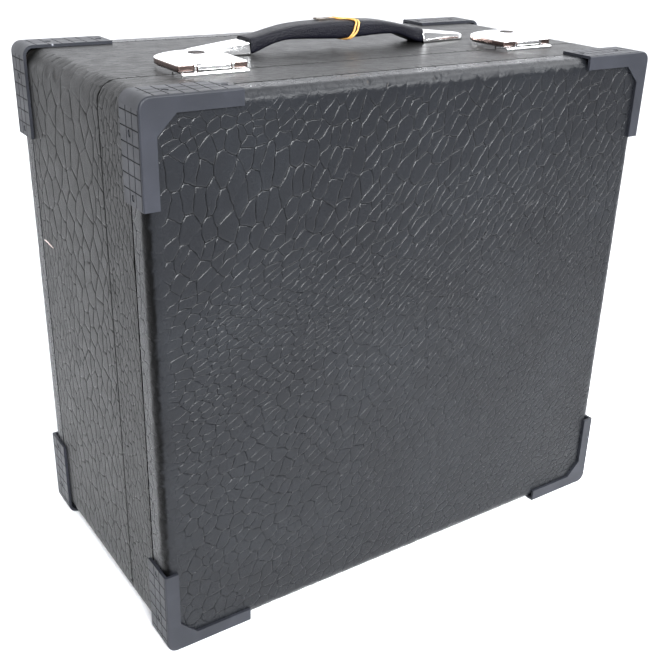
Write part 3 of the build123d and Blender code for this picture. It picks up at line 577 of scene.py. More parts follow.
    for v, ks in cells:
        ring = []
        for a, b in zip(ks, ks[1:] + ks[:1]):
            ring.append(corner(a))
            ca_, cb_ = corners[a], corners[b]
            L = math.hypot(cb_[0] - ca_[0], cb_[1] - ca_[1])
            n = max(1, int(round(L / step)))
            k = (min(a, b), max(a, b))
            if k not in edge_pts:
                f = strength(a, b)
                lo, hi = (ca_, cb_) if a < b else (cb_, ca_)
                fa, fb = f_corner[k[0]], f_corner[k[1]]
                mid = []
                for i in range(1, n):
                    s_ = i / n
                    x, y = warped(lo[0] + (hi[0] - lo[0]) * s_, lo[1] + (hi[1] - lo[1]) * s_)
                    we = abs(2 * s_ - 1) ** 3
                    fe = f * (1 - we) + (fa if s_ < 0.5 else fb) * we * 0.6 + f * we * 0.4
                    mid.append((vert(x, y, 0.0), fe, x, y))
                edge_pts[k] = mid
            mid = edge_pts[k]
            ring += mid if a < b else mid[::-1]
        n = len(ring)
        if n < 3:
            continue
        P = np.array([(r[2], r[3]) for r in ring])
        cr = P[:, 0] * np.roll(P[:, 1], -1) - np.roll(P[:, 0], -1) * P[:, 1]
        area = 0.5 * cr.sum()
        if area < 0.3:
            continue
        c = np.array([((P[:, 0] + np.roll(P[:, 0], -1)) * cr).sum(), ((P[:, 1] + np.roll(P[:, 1], -1)) * cr).sum()]) / (6 * area)
        nxt, prv = np.roll(P, -1, 0) - P, P - np.roll(P, 1, 0)
        tang = nxt / (np.linalg.norm(nxt, axis=1, keepdims=True) + 1e-9) + prv / (np.linalg.norm(prv, axis=1, keepdims=True) + 1e-9)
        tang /= np.linalg.norm(tang, axis=1, keepdims=True) + 1e-9
        nrm = np.column_stack([-tang[:, 1], tang[:, 0]])
        perp = np.abs(((c - P) * nrm).sum(1))
        rad = np.linalg.norm(c - P, axis=1)
        perp = np.maximum(perp, rad * 0.3)
        fs, _, _, fd = field(c[None])
        dfac = float(fd[0]) * min(1.0, max(0.85, float(fs[0]) / 14.0))
        crown = dome * min(1.0, math.sqrt(area) / 14.0) * dfac
        prev = [r[0] for r in ring]
        fr = np.array([r[1] for r in ring])
        for (i0, _, x, y), f in zip(ring, fr):
            rim = min(abs(x - x0), abs(x - x1), abs(y - y0), abs(y - y1)) < 0.01
            V[i0] = (x, y, -0.55 if rim else -depth * f * dfac)
        slim = wall * min(1.0, max(0.6, math.sqrt(area) / 16.0))
        outs = [(slim, lip, 0.42)]
        if rings > 1:
            outs.append((slim * 3.4, crown * 0.7, 0.62))
        for j, (w, hgt, lim) in enumerate(outs):
            t = np.minimum(lim, w / perp)
            Q = P + (c - P) * t[:, None]
            z = hgt * fr * dfac if j == 0 else np.full(n, hgt)
            cur = [vert(Q[i, 0], Q[i, 1], float(z[i])) for i in range(n)]
            for i in range(n):
                k2 = (i + 1) % n
                F.append((prev[i], prev[k2], cur[k2], cur[i]))
            if j == 0:
                for i in range(n):
                    if fr[i] > 0.1 or fr[(i + 1) % n] > 0.1:
                        sharp.append((ring[i][0], ring[(i + 1) % n][0]))
            prev = cur
        ci = vert(c[0], c[1], crown)
        for i in range(n):
            F.append((prev[i], prev[(i + 1) % n], ci))
    return V, F, sharp


def build_sheet(name, V, F, sharp, to3d, mat, merge=0.02, fade=None, shade=None):
    """Lays a flat pattern on the case. to3d gives the surface point and its normal."""
    bm = bmesh.new()
    painted_shade_layer = bm.verts.layers.float.new("groove")
    vs = []
    for x, y, z in V:
        if fade:
            z = z * fade(x, y)
        p, n = to3d(x, y)
        v = bm.verts.new((p[0] + n[0] * z, p[1] + n[1] * z, p[2] + n[2] * z))
        # the groove attribute holds groove depth and the painted edge shade; the vinyl material paints shade from it
        v[painted_shade_layer] = max(min(1.0, max(0.0, -z / 0.4)), shade(x, y) if shade else 0.0)
        vs.append(v)
    groove = set()
    for a, b in sharp:
        groove.add((min(a, b), max(a, b)))
    made = {}
    for f in F:
        try:
            made[f] = bm.faces.new([vs[i] for i in f])
        except ValueError:
            pass
    bm.edges.ensure_lookup_table()
    for f, bf in made.items():
        for e in bf.edges:
            pass
    lookup = {}
    bm.verts.index_update()
    for e in bm.edges:
        a, b = e.verts[0].index, e.verts[1].index
        if (min(a, b), max(a, b)) in groove:
            e.smooth = False
    # merge close points and fill holes in the sheet; turn_down turns its free edges down to the wood
    bmesh.ops.remove_doubles(bm, verts=bm.verts, dist=merge)
    bmesh.ops.dissolve_degenerate(bm, dist=merge * 0.5, edges=bm.edges)
    loose = [e for e in bm.edges if e.is_boundary]
    bmesh.ops.holes_fill(bm, edges=loose, sides=90)
    return bm


def turn_down(bm, depth_of):
    edges = [e for e in bm.edges if e.is_boundary]
    ret = bmesh.ops.extrude_edge_only(bm, edges=edges)
    vs = [g for g in ret["geom"] if isinstance(g, bmesh.types.BMVert)]
    for v in vs:
        v.co += depth_of(v.co)


def bm_scale(bm, s=MM):
    bmesh.ops.scale(bm, vec=(s, s, s), verts=bm.verts)


# ---- face sheet: front or back covering, over the rounded edge and 25 mm round the sides
FLAT_X, FLAT_Z = W / 2 - R_FACE, H / 2 - R_FACE
ARC = R_FACE * math.pi / 2
REACH = ARC + FOLD - R_FACE


def face_sheet(side):
    """side -1 is the front, +1 the back; s runs along X, t along Z from the middle."""
    def to3d(s, t):
        if side > 0:
            s = -s
        sx, sz = math.copysign(1, s), math.copysign(1, t)
        u, v = max(abs(s) - FLAT_X, 0.0), max(abs(t) - FLAT_Z, 0.0)
        L = math.hypot(u, v)
        if L < 1e-9:
            return (s, side * D / 2, ZC + t), (0.0, side, 0.0)
        du, dv = sx * u / L, sz * v / L
        L = min(L, REACH)
        bx, bz = math.copysign(min(abs(s), FLAT_X), s), math.copysign(min(abs(t), FLAT_Z), t)
        if L < ARC:
            a = L / R_FACE
            off, dep = R_FACE * math.sin(a), R_FACE * (1 - math.cos(a))
            nn = (du * math.sin(a), side * math.cos(a), dv * math.sin(a))
        else:
            off, dep = R_FACE, R_FACE + L - ARC
            nn = (du, 0.0, dv)
        return (bx + du * off, side * (D / 2 - dep), ZC + bz + dv * off), nn
    return to3d


def face_fade(s, t):
    if abs(s) > FLAT_X + REACH - 0.5 or abs(t) > FLAT_Z + REACH - 0.5:
        return 1.0
    u = max(abs(s) - FLAT_X + 7.0, abs(t) - FLAT_Z + 7.0, 0.0)
    if u <= 0:
        return 1.0
    if u < 9:
        k = u / 9
        return 1.0 - 0.98 * k * k * (3 - 2 * k)
    if u < 23:
        return 0.02
    return 0.02 + 0.60 * min(1.0, (u - 23) / 6)


def painted_edge_shade(s, t):
    """Painted shade: the pressed rounded edge down each side is painted blacker than the plates."""
    u = abs(s) - FLAT_X
    if u < 4.5 or u > 18.0 or abs(t) > FLAT_Z:
        return 0.0
    return 0.86 * min(1.0, (u - 4.5) / 2.5, (18.0 - u) / 2.5)


FRONT_POINTS = [
    # s, t, size, elongation, direction in degrees, depth
    (-212, 212, 8, 1.4, 15, 1.0), (-165, 212, 8, 1.4, 12, 0.95), (-120, 212, 12, 1.6, 60, 1.0), (-60, 214, 15, 1.9, 66, 1.0),
    (0, 214, 14, 2.2, 66, 1.0), (60, 214, 15, 2.0, 62, 1.0), (130, 212, 16, 1.9, 60, 1.0), (205, 208, 15, 1.8, 62, 1.0),
    (-232, 170, 18, 1.8, 86, 1.0), (-190, 180, 19, 2.1, 86, 1.0), (-140, 172, 19, 2.2, 80, 1.0), (-85, 165, 18, 2.3, 72, 1.0), (-190, 145, 18, 2.0, 80, 1.0), (-140, 140, 17, 2.1, 72, 1.0),
    (-12, 172, 18, 2.3, 64, 1.0), (60, 170, 18, 2.2, 62, 1.0), (130, 165, 18, 2.1, 60, 1.0), (205, 160, 16, 2.1, 62, 1.0),
    (-234, 115, 15, 1.7, 66, 1.0), (-190, 105, 13, 1.9, 45, 1.0), (-140, 98, 11, 2.2, 38, 1.0), (-80, 110, 15, 2.2, 50, 1.0),
    (-22, 112, 14, 2.6, 54, 1.0), (45, 105, 14, 2.6, 54, 1.0), (110, 105, 14, 2.6, 54, 1.0), (175, 105, 14, 2.4, 56, 0.95), (230, 110, 13, 2.2, 62, 0.95),
    (-236, 60, 12, 1.7, 40, 1.0), (-190, 60, 7, 2.4, 20, 1.0), (-160, 45, 7, 2.6, 22, 1.0), (-130, 60, 6.5, 2.8, 22, 1.0), (-100, 40, 7, 2.8, 26, 0.95), (-70, 60, 8.5, 2.8, 30, 0.95),
    (-15, 50, 9, 3.0, 34, 0.85), (45, 45, 9, 3.0, 38, 0.8), (105, 45, 9, 2.8, 40, 0.74), (170, 45, 8, 2.6, 48, 0.71),
    (-236, 0, 9, 1.9, 14, 0.95), (-190, 5, 9, 1.9, 16, 0.95), (-135, 0, 10, 1.9, 32, 0.9), (-80, -5, 11, 1.9, 45, 0.9), (-20, -10, 11, 2.4, 42, 0.8),
    (45, -15, 9, 2.8, 42, 0.71), (110, -15, 9, 2.8, 42, 0.65), (175, -15, 8, 2.6, 44, 0.6), (232, -40, 7, 2.4, 45, 0.57),
    (-236, -60, 9.5, 1.8, 18, 0.95), (-185, -60, 11, 1.6, 24, 0.9), (-120, -60, 12.5, 1.6, 50, 0.85), (-60, -70, 12, 1.8, 48, 0.8),
    (10, -80, 10, 2.4, 42, 0.65), (80, -80, 9, 2.6, 42, 0.6), (150, -80, 8, 2.6, 38, 0.56), (232, -110, 7, 2.6, 22, 0.54),
    (-225, -130, 16, 1.4, 60, 0.77), (-160, -135, 15, 1.5, 35, 0.74), (-90, -139, 13, 1.7, 40, 0.68), (-10, -145, 11, 2.1, 40, 0.62),
    (60, -145, 9, 2.4, 38, 0.58), (140, -150, 8, 2.4, 26, 0.55), (220, -180, 7, 2.4, 12, 0.52),
    (-225, -208, 14, 1.4, 60, 0.74), (-150, -208, 13, 1.6, 40, 0.68), (-70, -208, 12, 1.7, 35, 0.62), (10, -210, 11, 1.8, 30, 0.59),
    (90, -210, 9, 2.0, 20, 0.55), (180, -212, 8, 2.2, 12, 0.52),
]
BACK_POINTS = [
    (-200, 190, 14, 1.5, 60, 0.9), (-60, 190, 17, 1.5, 80, 0.9), (90, 200, 12, 2.0, 120, 0.8), (210, 190, 10, 1.5, 100, 0.8),
    (-200, 30, 11, 2.0, 70, 0.7), (-40, 40, 18, 1.4, 95, 0.9), (110, 60, 13, 2.2, 115, 0.8), (220, 20, 9, 2.2, 100, 0.6),
    (-190, -150, 9, 2.4, 40, 0.5), (-20, -140, 13, 1.8, 60, 0.6), (120, -130, 15, 1.6, 100, 0.7), (220, -190, 12, 1.4, 80, 0.6),
]


def make_face(name, side, points, seed, node_name, body, y_edge):
    rect = (-FLAT_X - REACH, FLAT_X + REACH, -FLAT_Z - REACH, FLAT_Z + REACH)
    # on the turned-over strips the scales are small and run up the case
    strips = []
    for t in (-200, -100, 0, 100, 200):
        strips += [(sg * (FLAT_X + REACH - 4), t, 9.0, 2.6, 88, 0.8) for sg in (-1, 1)]
    for s_ in (-200, -100, 0, 100, 200):
        strips += [(s_, sg * (FLAT_Z + REACH - 4), 9.0, 1.8, 5, 0.3) for sg in (-1, 1)]
    field = field_from(points + strips)
    seeds = scatter(rect, field, 26000, seed)
    V, F, sharp = scale_pattern(rect, seeds, field, seed, depth=0.70, lip=0.06, dome=0.07, wall=0.58, warp=2.4, missing=0.025)
    bm = build_sheet(name, V, F, sharp, face_sheet(side), M_FRONT, fade=face_fade, shade=painted_edge_shade)
    turn_down(bm, lambda co: Vector((-0.85 * (1 if co.x > 0 else -1) if abs(co.x) > FLAT_X + 5 else 0,
                                     0, -0.85 * (1 if co.z > ZC else -1) if abs(co.z - ZC) > FLAT_Z + 5 else 0)))
    bmesh.ops.recalc_face_normals(bm, faces=bm.faces)
    bm_scale(bm)
    ob = from_bmesh(name, bm, M_FRONT)
    return finish_piece(ob, body, "embossed_vinyl", node_name)


# ---- side coverings: a band round the case
HX, HZ = W / 2, H / 2
STRAIGHT_X, STRAIGHT_Z = W - 2 * R_SIDE, H - 2 * R_SIDE
QUARTER = R_SIDE * math.pi / 2
PERIM = 2 * (STRAIGHT_X + STRAIGHT_Z) + 4 * QUARTER
# p starts at the lower left corner's end and runs up the left side, over the top, down the right side, back along the bottom
P_LEFT = (0.0, STRAIGHT_Z)
P_TOP = (STRAIGHT_Z + QUARTER, STRAIGHT_Z + QUARTER + STRAIGHT_X)
P_RIGHT = (P_TOP[1] + QUARTER, P_TOP[1] + QUARTER + STRAIGHT_Z)
P_BOTTOM = (P_RIGHT[1] + QUARTER, P_RIGHT[1] + QUARTER + STRAIGHT_X)


def band3d(p, y):
    p = p % PERIM
    r = R_SIDE
    if p < P_LEFT[1]:
        return (-HX, y, ZC - HZ + r + p), (-1.0, 0.0, 0.0)
    if p < P_TOP[0]:
        a = (p - P_LEFT[1]) / r
        return (-HX + r - r * math.cos(a), y, ZC + HZ - r + r * math.sin(a)), (-math.cos(a), 0.0, math.sin(a))
    if p < P_TOP[1]:
        return (-HX + r + p - P_TOP[0], y, ZC + HZ), (0.0, 0.0, 1.0)
    if p < P_RIGHT[0]:
        a = (p - P_TOP[1]) / r
        return (HX - r + r * math.sin(a), y, ZC + HZ - r + r * math.cos(a)), (math.sin(a), 0.0, math.cos(a))
    if p < P_RIGHT[1]:
        return (HX, y, ZC + HZ - r - (p - P_RIGHT[0])), (1.0, 0.0, 0.0)
    if p < P_BOTTOM[0]:
        a = (p - P_RIGHT[1]) / r
        return (HX - r + r * math.cos(a), y, ZC - HZ + r - r * math.sin(a)), (math.cos(a), 0.0, -math.sin(a))
    if p < P_BOTTOM[1]:
        return (HX - r - (p - P_BOTTOM[0]), y, ZC - HZ), (0.0, 0.0, -1.0)
    a = (p - P_BOTTOM[1]) / r
    return (-HX + r - r * math.sin(a), y, ZC - HZ + r - r * math.cos(a)), (-math.sin(a), 0.0, -math.cos(a))


def panel_points(lo, hi, y0, y1, seed, kind):
    """Plates are large on the upper part of the base's sides, narrow along the seam and on the lid."""
    rng = np.random.default_rng(seed)
    pts = []
    lid = y1 < 0
    ys = np.linspace(y0 + 4, y1 - 4, 3 if lid else 6)
    for i, p in enumerate(np.linspace(lo + 6, hi - 6, 9)):
        for j, y in enumerate(ys):
            if kind == "side":
                up = (p - lo) / (hi - lo)
                up = up if lo < 300 else 1 - up
                if lid:
                    size, el, dep = rng.uniform(7.5, 11.0), rng.uniform(1.5, 2.2), 0.8
                elif j == 0:
                    size, el, dep = rng.uniform(10.0, 14.0), rng.uniform(1.6, 2.2), 0.9
                elif j == len(ys) - 1:
                    size, el, dep = rng.uniform(9.0, 12.0), rng.uniform(1.6, 2.2), 0.7
                elif up > 0.72:
                    size, el, dep = rng.uniform(24.0, 29.0), rng.uniform(1.1, 1.4), 1.0
                elif up > 0.4:
                    size, el, dep = (rng.uniform(10.0, 13.0), 1.9, 0.8) if j >= 3 else (rng.uniform(17.0, 22.0), 1.5, 1.0)
                else:
                    size, el, dep = rng.uniform(14.0, 19.0), rng.uniform(1.4, 1.9), 0.9
                pts.append((p, y, size, el, rng.uniform(-16, 14), dep))
            else:
                fade = 1.0 - 0.6 * (p - lo) / (hi - lo)
                pts.append((p, y, rng.uniform(10.0, 14.0), rng.uniform(1.4, 1.8), rng.uniform(-30, 30), (0.26 if kind == "top" else 0.2) * fade))
    return pts


def make_band(name, y0, y1, seed, node_name, body, tries):
    """Four panels of scales, joined by smooth quarter bends."""
    bms = bmesh.new()
    q = QUARTER / 2
    spans = ((P_LEFT[0] - q, P_LEFT[1] + q, "side"), (P_TOP[0] - q, P_TOP[1] + q, "top"),
             (P_RIGHT[0] - q, P_RIGHT[1] + q, "side"), (P_BOTTOM[0] - q, P_BOTTOM[1] + q, "bottom"))
    for i, (lo, hi, kind) in enumerate(spans):
        rect = (lo, hi, y0, y1)
        field = field_from(panel_points(lo, hi, y0, y1, seed + i, kind))
        seeds = scatter(rect, field, int(tries * (hi - lo) / PERIM), seed + i)
        V, F, sharp = scale_pattern(rect, seeds, field, seed + i, depth=0.55, lip=0.04, dome=0.05, wall=0.80, step=6.0, warp=1.8, rings=2, missing=0.03)

        def calm(x, y, lo=lo, hi=hi):
            e = min(x - lo, hi - x)
            if e < 0.01:
                return 0.0
            if min(abs(y - y0), abs(y - y1)) < 0.01:
                return 1.0
            return 0.12 + 0.88 * min(1.0, max(0.0, (e - q) / 8.0))
        bm = build_sheet(name, V, F, sharp, band3d, M_SIDE, fade=calm)
        me = bpy.data.meshes.new("part")
        bm.to_mesh(me)
        bm.free()
        bms.from_mesh(me)
        bpy.data.meshes.remove(me)

    def inward(co):
        cx = min(max(co.x, -HX + R_SIDE), HX - R_SIDE)
        cz = min(max(co.z, ZC - HZ + R_SIDE), ZC + HZ - R_SIDE)
        d = Vector((cx - co.x, 0, cz - co.z))
        return d.normalized() * 0.85 if d.length > 1e-6 else Vector((0, 0, 0))
    turn_down(bms, inward)
    bmesh.ops.recalc_face_normals(bms, faces=bms.faces)
    bm_scale(bms)
    ob = from_bmesh(name, bms, M_SIDE)
    return finish_piece(ob, body, "embossed_vinyl", node_name)


GAP = 0.8
front = make_face("front_covering", -1, FRONT_POINTS, 11, "lid_front_vinyl", "lid", YF + FOLD)
back = make_face("back_covering", 1, BACK_POINTS, 23, "base_back_vinyl", "base", YB - FOLD)
lid_band = make_band("lid_side_covering", YF + FOLD + 2 * GAP, YS - SEAM / 2 - 0.35, 31, "lid_side_vinyl", "lid", 14000)
base_band = make_band("base_side_covering", YS + SEAM / 2 + 0.35, YB - FOLD - 2 * GAP, 47, "base_side_vinyl", "base", 30000)

# ---- the pale scrape on the left side of the base
def scrape():
    rng = np.random.default_rng(5)
    V, F = [], []
    n = 26
    for i in range(n + 1):
        t = i / n
        y = 103.8 - 25.0 * t
        z = 297.6 + 0.5 * math.sin(t * 5.0) + 0.25 * rng.standard_normal() * 0.5
        w = (0.25 + 0.55 * math.sin(math.pi * min(1.0, t * 1.15)) ** 0.7) * (0.75 + 0.5 * rng.random())
        for dz, dx in ((-w, 0.06), (-0.35 * w, 0.2), (0.35 * w, 0.22), (w, 0.06)):
            V.append(((-HX - dx) * MM, y * MM, (z + dz) * MM))
    for i in range(n):
        for j in range(3):
            F.append((i * 4 + j, i * 4 + j + 1, i * 4 + j + 5, i * 4 + j + 4))
    ob = mesh_object("side_scrape", V, F, M_SCRATCH)
    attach(ob, "base")
    return ob


scrape()

# ================================================================ lofted pieces
def loft(name, rings, mat, cap_start=False, cap_end=False, sharp_rings=(), smooth=True):
    """Joins closed rings of equally many points (mm) into one surface."""
    n = len(rings[0])
    V = [p for r in rings for p in r]
    F = []
    for j in range(len(rings) - 1):
        for i in range(n):
            k = (i + 1) % n
            F.append((j * n + i, j * n + k, (j + 1) * n + k, (j + 1) * n + i))
    if cap_start:
        V.append(tuple(np.mean(rings[0], 0)))
        c = len(V) - 1
        F += [((i + 1) % n, i, c) for i in range(n)]
    if cap_end:
        V.append(tuple(np.mean(rings[-1], 0)))
        c, o = len(V) - 1, (len(rings) - 1) * n
        F += [(o + i, o + (i + 1) % n, c) for i in range(n)]
    V = [(p[0] * MM, p[1] * MM, p[2] * MM) for p in V]
    ob = mesh_object(name, V, F, mat, smooth)
    bm = bmesh.new()
    bm.from_mesh(ob.data)
    bm.verts.ensure_lookup_table()
    for j in sharp_rings:
        for i in range(n):
            e = bm.edges.get((bm.verts[j * n + i], bm.verts[j * n + (i + 1) % n]))
            if e:
                e.smooth = False
    bmesh.ops.recalc_face_normals(bm, faces=bm.faces)
    bm.to_mesh(ob.data)
    bm.free()
    return ob


def join(name, objs, mat=None):
    bm = bmesh.new()
    for o in objs:
        bm.from_mesh(o.data)
        me = o.data
        bpy.data.objects.remove(o)
        bpy.data.meshes.remove(me)
    me = bpy.data.meshes.new(name)
    bm.to_mesh(me)
    bm.free()
    ob = bpy.data.objects.new(name, me)
    bpy.context.scene.collection.objects.link(ob)
    me.materials.append(mat)
    return ob


def bez(p0, p1, p2, p3, n):
    out = []
    for i in range(n):
        t = i / n
        out.append(tuple((1 - t) ** 3 * a + 3 * (1 - t) ** 2 * t * b + 3 * (1 - t) * t * t * c + t ** 3 * d
                         for a, b, c, d in zip(p0, p1, p2, p3)))
    return out


# ---- latch covers
LX = 162.0
PLUG_Y = -38.5


def shield_ring(half, front, straight, tip, r=1.6):
    """Shield outline from the front left corner round, anticlockwise seen from above, with small rounded front corners."""
    pts = []
    for i in range(7):
        pts.append((-half + 2 * half * (i + 0.5) / 7.0 * 1.0, front))
    pts = [(-half + r + (2 * half - 2 * r) * i / 9, front) for i in range(10)]
    for i in range(1, 6):
        a = -math.pi / 2 + math.pi / 2 * i / 6
        pts.append((half - r + r * math.cos(a), front + r + r * math.sin(a)))
    pts += [(half, front + r + (straight - front - r) * i / 8) for i in range(9)]
    rise = tip - straight
    pts += bez((half, straight), (half, straight + 0.62 * rise), (half * 0.6, tip), (0, tip), 16)[1:]
    pts += bez((0, tip), (-half * 0.6, tip), (-half, straight + 0.62 * rise), (-half, straight), 16)
    pts += [(-half, straight + (front + r - straight) * i / 8) for i in range(9)]
    for i in range(1, 6):
        a = math.pi + math.pi / 2 * i / 6
        pts.append((-half + r + r * math.cos(a), front + r + r * math.sin(a)))
    return pts


def latch_cover(side, cx):
    ol = np.array(shield_ring(29.5, -67.5, -30.0, -6.5))
    C = np.array((0.0, PLUG_Y))
    ang = np.arctan2(ol[:, 1] - C[1], ol[:, 0])
    hole = np.column_stack([6.75 * np.cos(ang), PLUG_Y + 6.75 * np.sin(ang)])
    to_c = hole - ol
    dist = np.linalg.norm(to_c, axis=1)

    def at(inset=None, t=None):
        tt = np.minimum(0.9, inset / dist) if t is None else np.full(len(ol), t)
        return ol + to_c * tt[:, None], tt

    def ring(xy, z):
        z = np.broadcast_to(z, (len(ol),))
        return [(cx + x, y, ZT + zz) for (x, y), zz in zip(xy, z)]

    def dome(tt):
        return 8.15 + 4.0 * (1 - (1 - tt) ** 2.1) ** 0.95
    rings, mark = [], []
    # inside from the plug hole out, then the lower lip, then up the wall and over the crown
    for t in (1.0, 0.8, 0.6, 0.4, 0.25):
        xy, tt = at(t=t)
        rings.append(ring(xy, dome(tt) - 1.1))
    for inset, z in ((2.4, 7.0), (1.3, 6.0), (1.15, 3.7)):
        xy, tt = at(inset=inset)
        rings.append(ring(xy, z))
    for inset, z in ((1.0, 3.5), (0.08, 3.5), (0.0, 3.6)):
        xy, tt = at(inset=inset)
        rings.append(ring(xy, z))
    xy, tt = at(inset=0.0)
    for z in (5.0, 6.4, 7.4):
        rings.append(ring(xy, z))
    for inset, z in ((0.1, 7.75), (0.3, 8.02), (0.65, 8.17)):
        xy, tt = at(inset=inset)
        rings.append(ring(xy, z))
    for t in (0.06, 0.1, 0.16, 0.24, 0.34, 0.45, 0.57, 0.7, 0.82, 0.93, 1.0):
        xy, tt = at(t=t)
        inner = np.maximum(dome(tt), 8.2)
        rings.append(ring(xy, inner))
    rings.append(rings[0])
    shell = loft("shell", rings, M_CHROME, sharp_rings=(0, len(rings) - 2, 9, 8))
    # the raised tongue at the front
    secs = []
    hw = 14.0
    prof = [(-47.5, 9.0), (-47.7, 10.0), (-48.2, 10.3), (-54.0, 10.35), (-60.0, 10.3), (-64.0, 10.15), (-66.2, 9.75), (-67.9, 8.9), (-68.9, 7.7),
            (-69.35, 6.3), (-69.4, 5.0), (-69.2, 4.1), (-68.6, 3.7), (-67.6, 3.6), (-67.0, 4.2), (-67.0, 7.6), (-62.0, 8.4), (-55.0, 8.8)]
    for x, k in ((-hw, 0.35), (-hw + 0.25, 0.1), (-hw + 0.7, 0.0), (-hw * 0.5, 0.0), (0, 0.0), (hw * 0.5, 0.0), (hw - 0.7, 0.0), (hw - 0.25, 0.1), (hw, 0.35)):
        cy, cz = -60.0, 7.5
        secs.append([(cx + x, y + (0.9 * k if y < -67.5 else 0), ZT + z - (k if z > 9 else 0) + (0.4 * k if z < 4.5 else 0)) for y, z in prof])
    tongue = loft("tongue", secs, M_CHROME, cap_start=True, cap_end=True)
    ob = join("latch_cover_%s_shell" % side, [shell, tongue], M_CHROME)
    ob.data.materials.append(M_CHROME_FLANK_SHADE)
    # painted shade and reflection: the cover's flanks and the tongue's sides take the darker brownish chrome copy
    for p in ob.data.polygons:
        c = p.center
        on_tongue = abs(c.x / MM - cx) < 14.05 and c.y / MM < -47.0 and (c.y / MM < -67.55 or c.z / MM > ZT + 9.2)
        flank = abs(p.normal.z) < 0.35 and c.z / MM < ZT + 7.95
        if (flank and not on_tongue) or (on_tongue and abs(p.normal.x) > 0.6):
            p.material_index = 1
    return finish_piece(ob, "latch_" + side, "bright_chrome", "latch_cover_" + side)


for side, cx in (("left", -LX), ("right", LX)):
    latch_cover(side, cx)

def latch_bar(side, cx):
    """Rolled front edge of the latch plate, a little thinner at its two ends."""
    lo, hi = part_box("latch_plate_" + side)
    x0, x1 = lo.x / MM + 0.4, hi.x / MM - 0.4
    rings = []
    n = 14
    xs = [x0, x0 + 0.25, x0 + 0.6] + list(np.linspace(x0 + 4, x1 - 4, 12)) + [x1 - 0.6, x1 - 0.25, x1]
    for i, x in enumerate(xs):
        k = 0.82 if i in (0, len(xs) - 1) else (0.95 if i in (1, len(xs) - 2) else 1.0)
        ring = []
        for j in range(n):
            a = 2 * math.pi * j / n
            ring.append((x, -70.0 + 2.1 * k * math.cos(a), ZT + max(0.25, 1.2 + 1.9 * k * math.sin(a))))
        rings.append(ring)
    ob = loft("latch_bar_" + side, rings, M_CHROME, cap_start=True, cap_end=True)
    return finish_piece(ob, "lid", "bright_chrome")


for side, cx in (("left", -LX), ("right", LX)):
    latch_bar(side, cx)

# ---- handle caps
HY = 12.5


def handle_cap(side, sg):
    rings = []

    def section(x, w, h, n_side=6):
        r = min(1.5, h * 0.4, w * 0.4)
        lean = 0.86
        pts = [(w, 0.02), (w * (1 - 0.25 * (1 - lean)), h * 0.25), (w * (1 - 0.6 * (1 - lean)), h * 0.6), (w * lean, h - r)]
        for i in range(1, 6):
            a = math.pi / 2 * i / 6
            pts.append((w * lean - r + r * math.cos(a), h - r + r * math.sin(a)))
        top = w * lean - r
        crown = 0.06 * w
        m = 8
        for i in range(m + 1):
            u = 1 - i / m
            pts.append((top * u, h + crown * (1 - u * u)))
        pts += [(-y, z) for y, z in pts[-2::-1]]
        pts += [(-w + 2 * w * i / 5, 0.02) for i in range(1, 5)]
        return [(sg * x, HY + y, ZT + z) for y, z in pts]

    def wide(s_):
        w = 13.5 - 7.2 * s_ ** 1.25
        if s_ > 0.82:
            w *= math.sqrt(max(0.0, 1 - ((s_ - 0.82) / 0.18) ** 2)) * 0.985 + 0.015
        return w

    def high(s_):
        h = 10.6 - 5.4 * s_ ** 1.05
        if s_ > 0.86:
            h *= 0.55 + 0.45 * math.sqrt(max(0.0, 1 - ((s_ - 0.86) / 0.14) ** 2))
        return h
    # from the recess inside the mouth, out over the lip and along to the nose
    rings.append(section(104.0, 11.9, 9.1))
    rings.append(section(94.0, 12.1, 9.3))
    rings.append(section(93.1, 12.3, 9.4))
    rings.append(section(92.9, 12.9, 10.0))
    rings.append(section(93.1, 13.4, 10.5))
    for i in range(0, 30):
        s_ = i / 29
        s_ = 1 - (1 - s_) ** 1.45
        rings.append(section(93.4 + 56.5 * s_, wide(s_), high(s_)))
    ob = loft("handle_cap_%s_shell" % side, rings, M_CHROME, cap_start=True, cap_end=True, sharp_rings=(0,))
    return finish_piece(ob, "base", "bright_chrome", "handle_cap_" + side)


handle_cap("left", -1)
handle_cap("right", 1)

# ---- handle: vinyl wrapped grip and its ends
GX = np.array([-92.5, -90.0, -84.0, -75.0, -66.0, -57.0, -48.0, -40.0, -20.0, 0.0])
GB = np.array([0.6, 0.7, 2.2, 5.4, 8.4, 9.9, 10.2, 10.0, 9.0, 8.5])      # underside
GT = np.array([13.2, 13.9, 14.6, 16.4, 18.4, 20.1, 21.5, 22.3, 23.3, 23.7])  # top
GW = np.array([12.7, 13.2, 12.2, 11.6, 12.4, 13.0, 13.3, 13.4, 13.5, 13.5])  # half width


def pchip(x, xs, ys):
    d = np.diff(ys) / np.diff(xs)
    m = np.zeros(len(xs))
    m[1:-1] = np.where(d[1:] * d[:-1] > 0, 2 * d[1:] * d[:-1] / (d[1:] + d[:-1] + 1e-12), 0)
    m[0], m[-1] = d[0], 0.0
    i = min(len(xs) - 2, max(0, int(np.searchsorted(xs, x) - 1)))
    h = xs[i + 1] - xs[i]
    t = (x - xs[i]) / h
    return ((2 * t ** 3 - 3 * t ** 2 + 1) * ys[i] + (t ** 3 - 2 * t ** 2 + t) * h * m[i]
            + (-2 * t ** 3 + 3 * t ** 2) * ys[i + 1] + (t ** 3 - t ** 2) * h * m[i + 1])


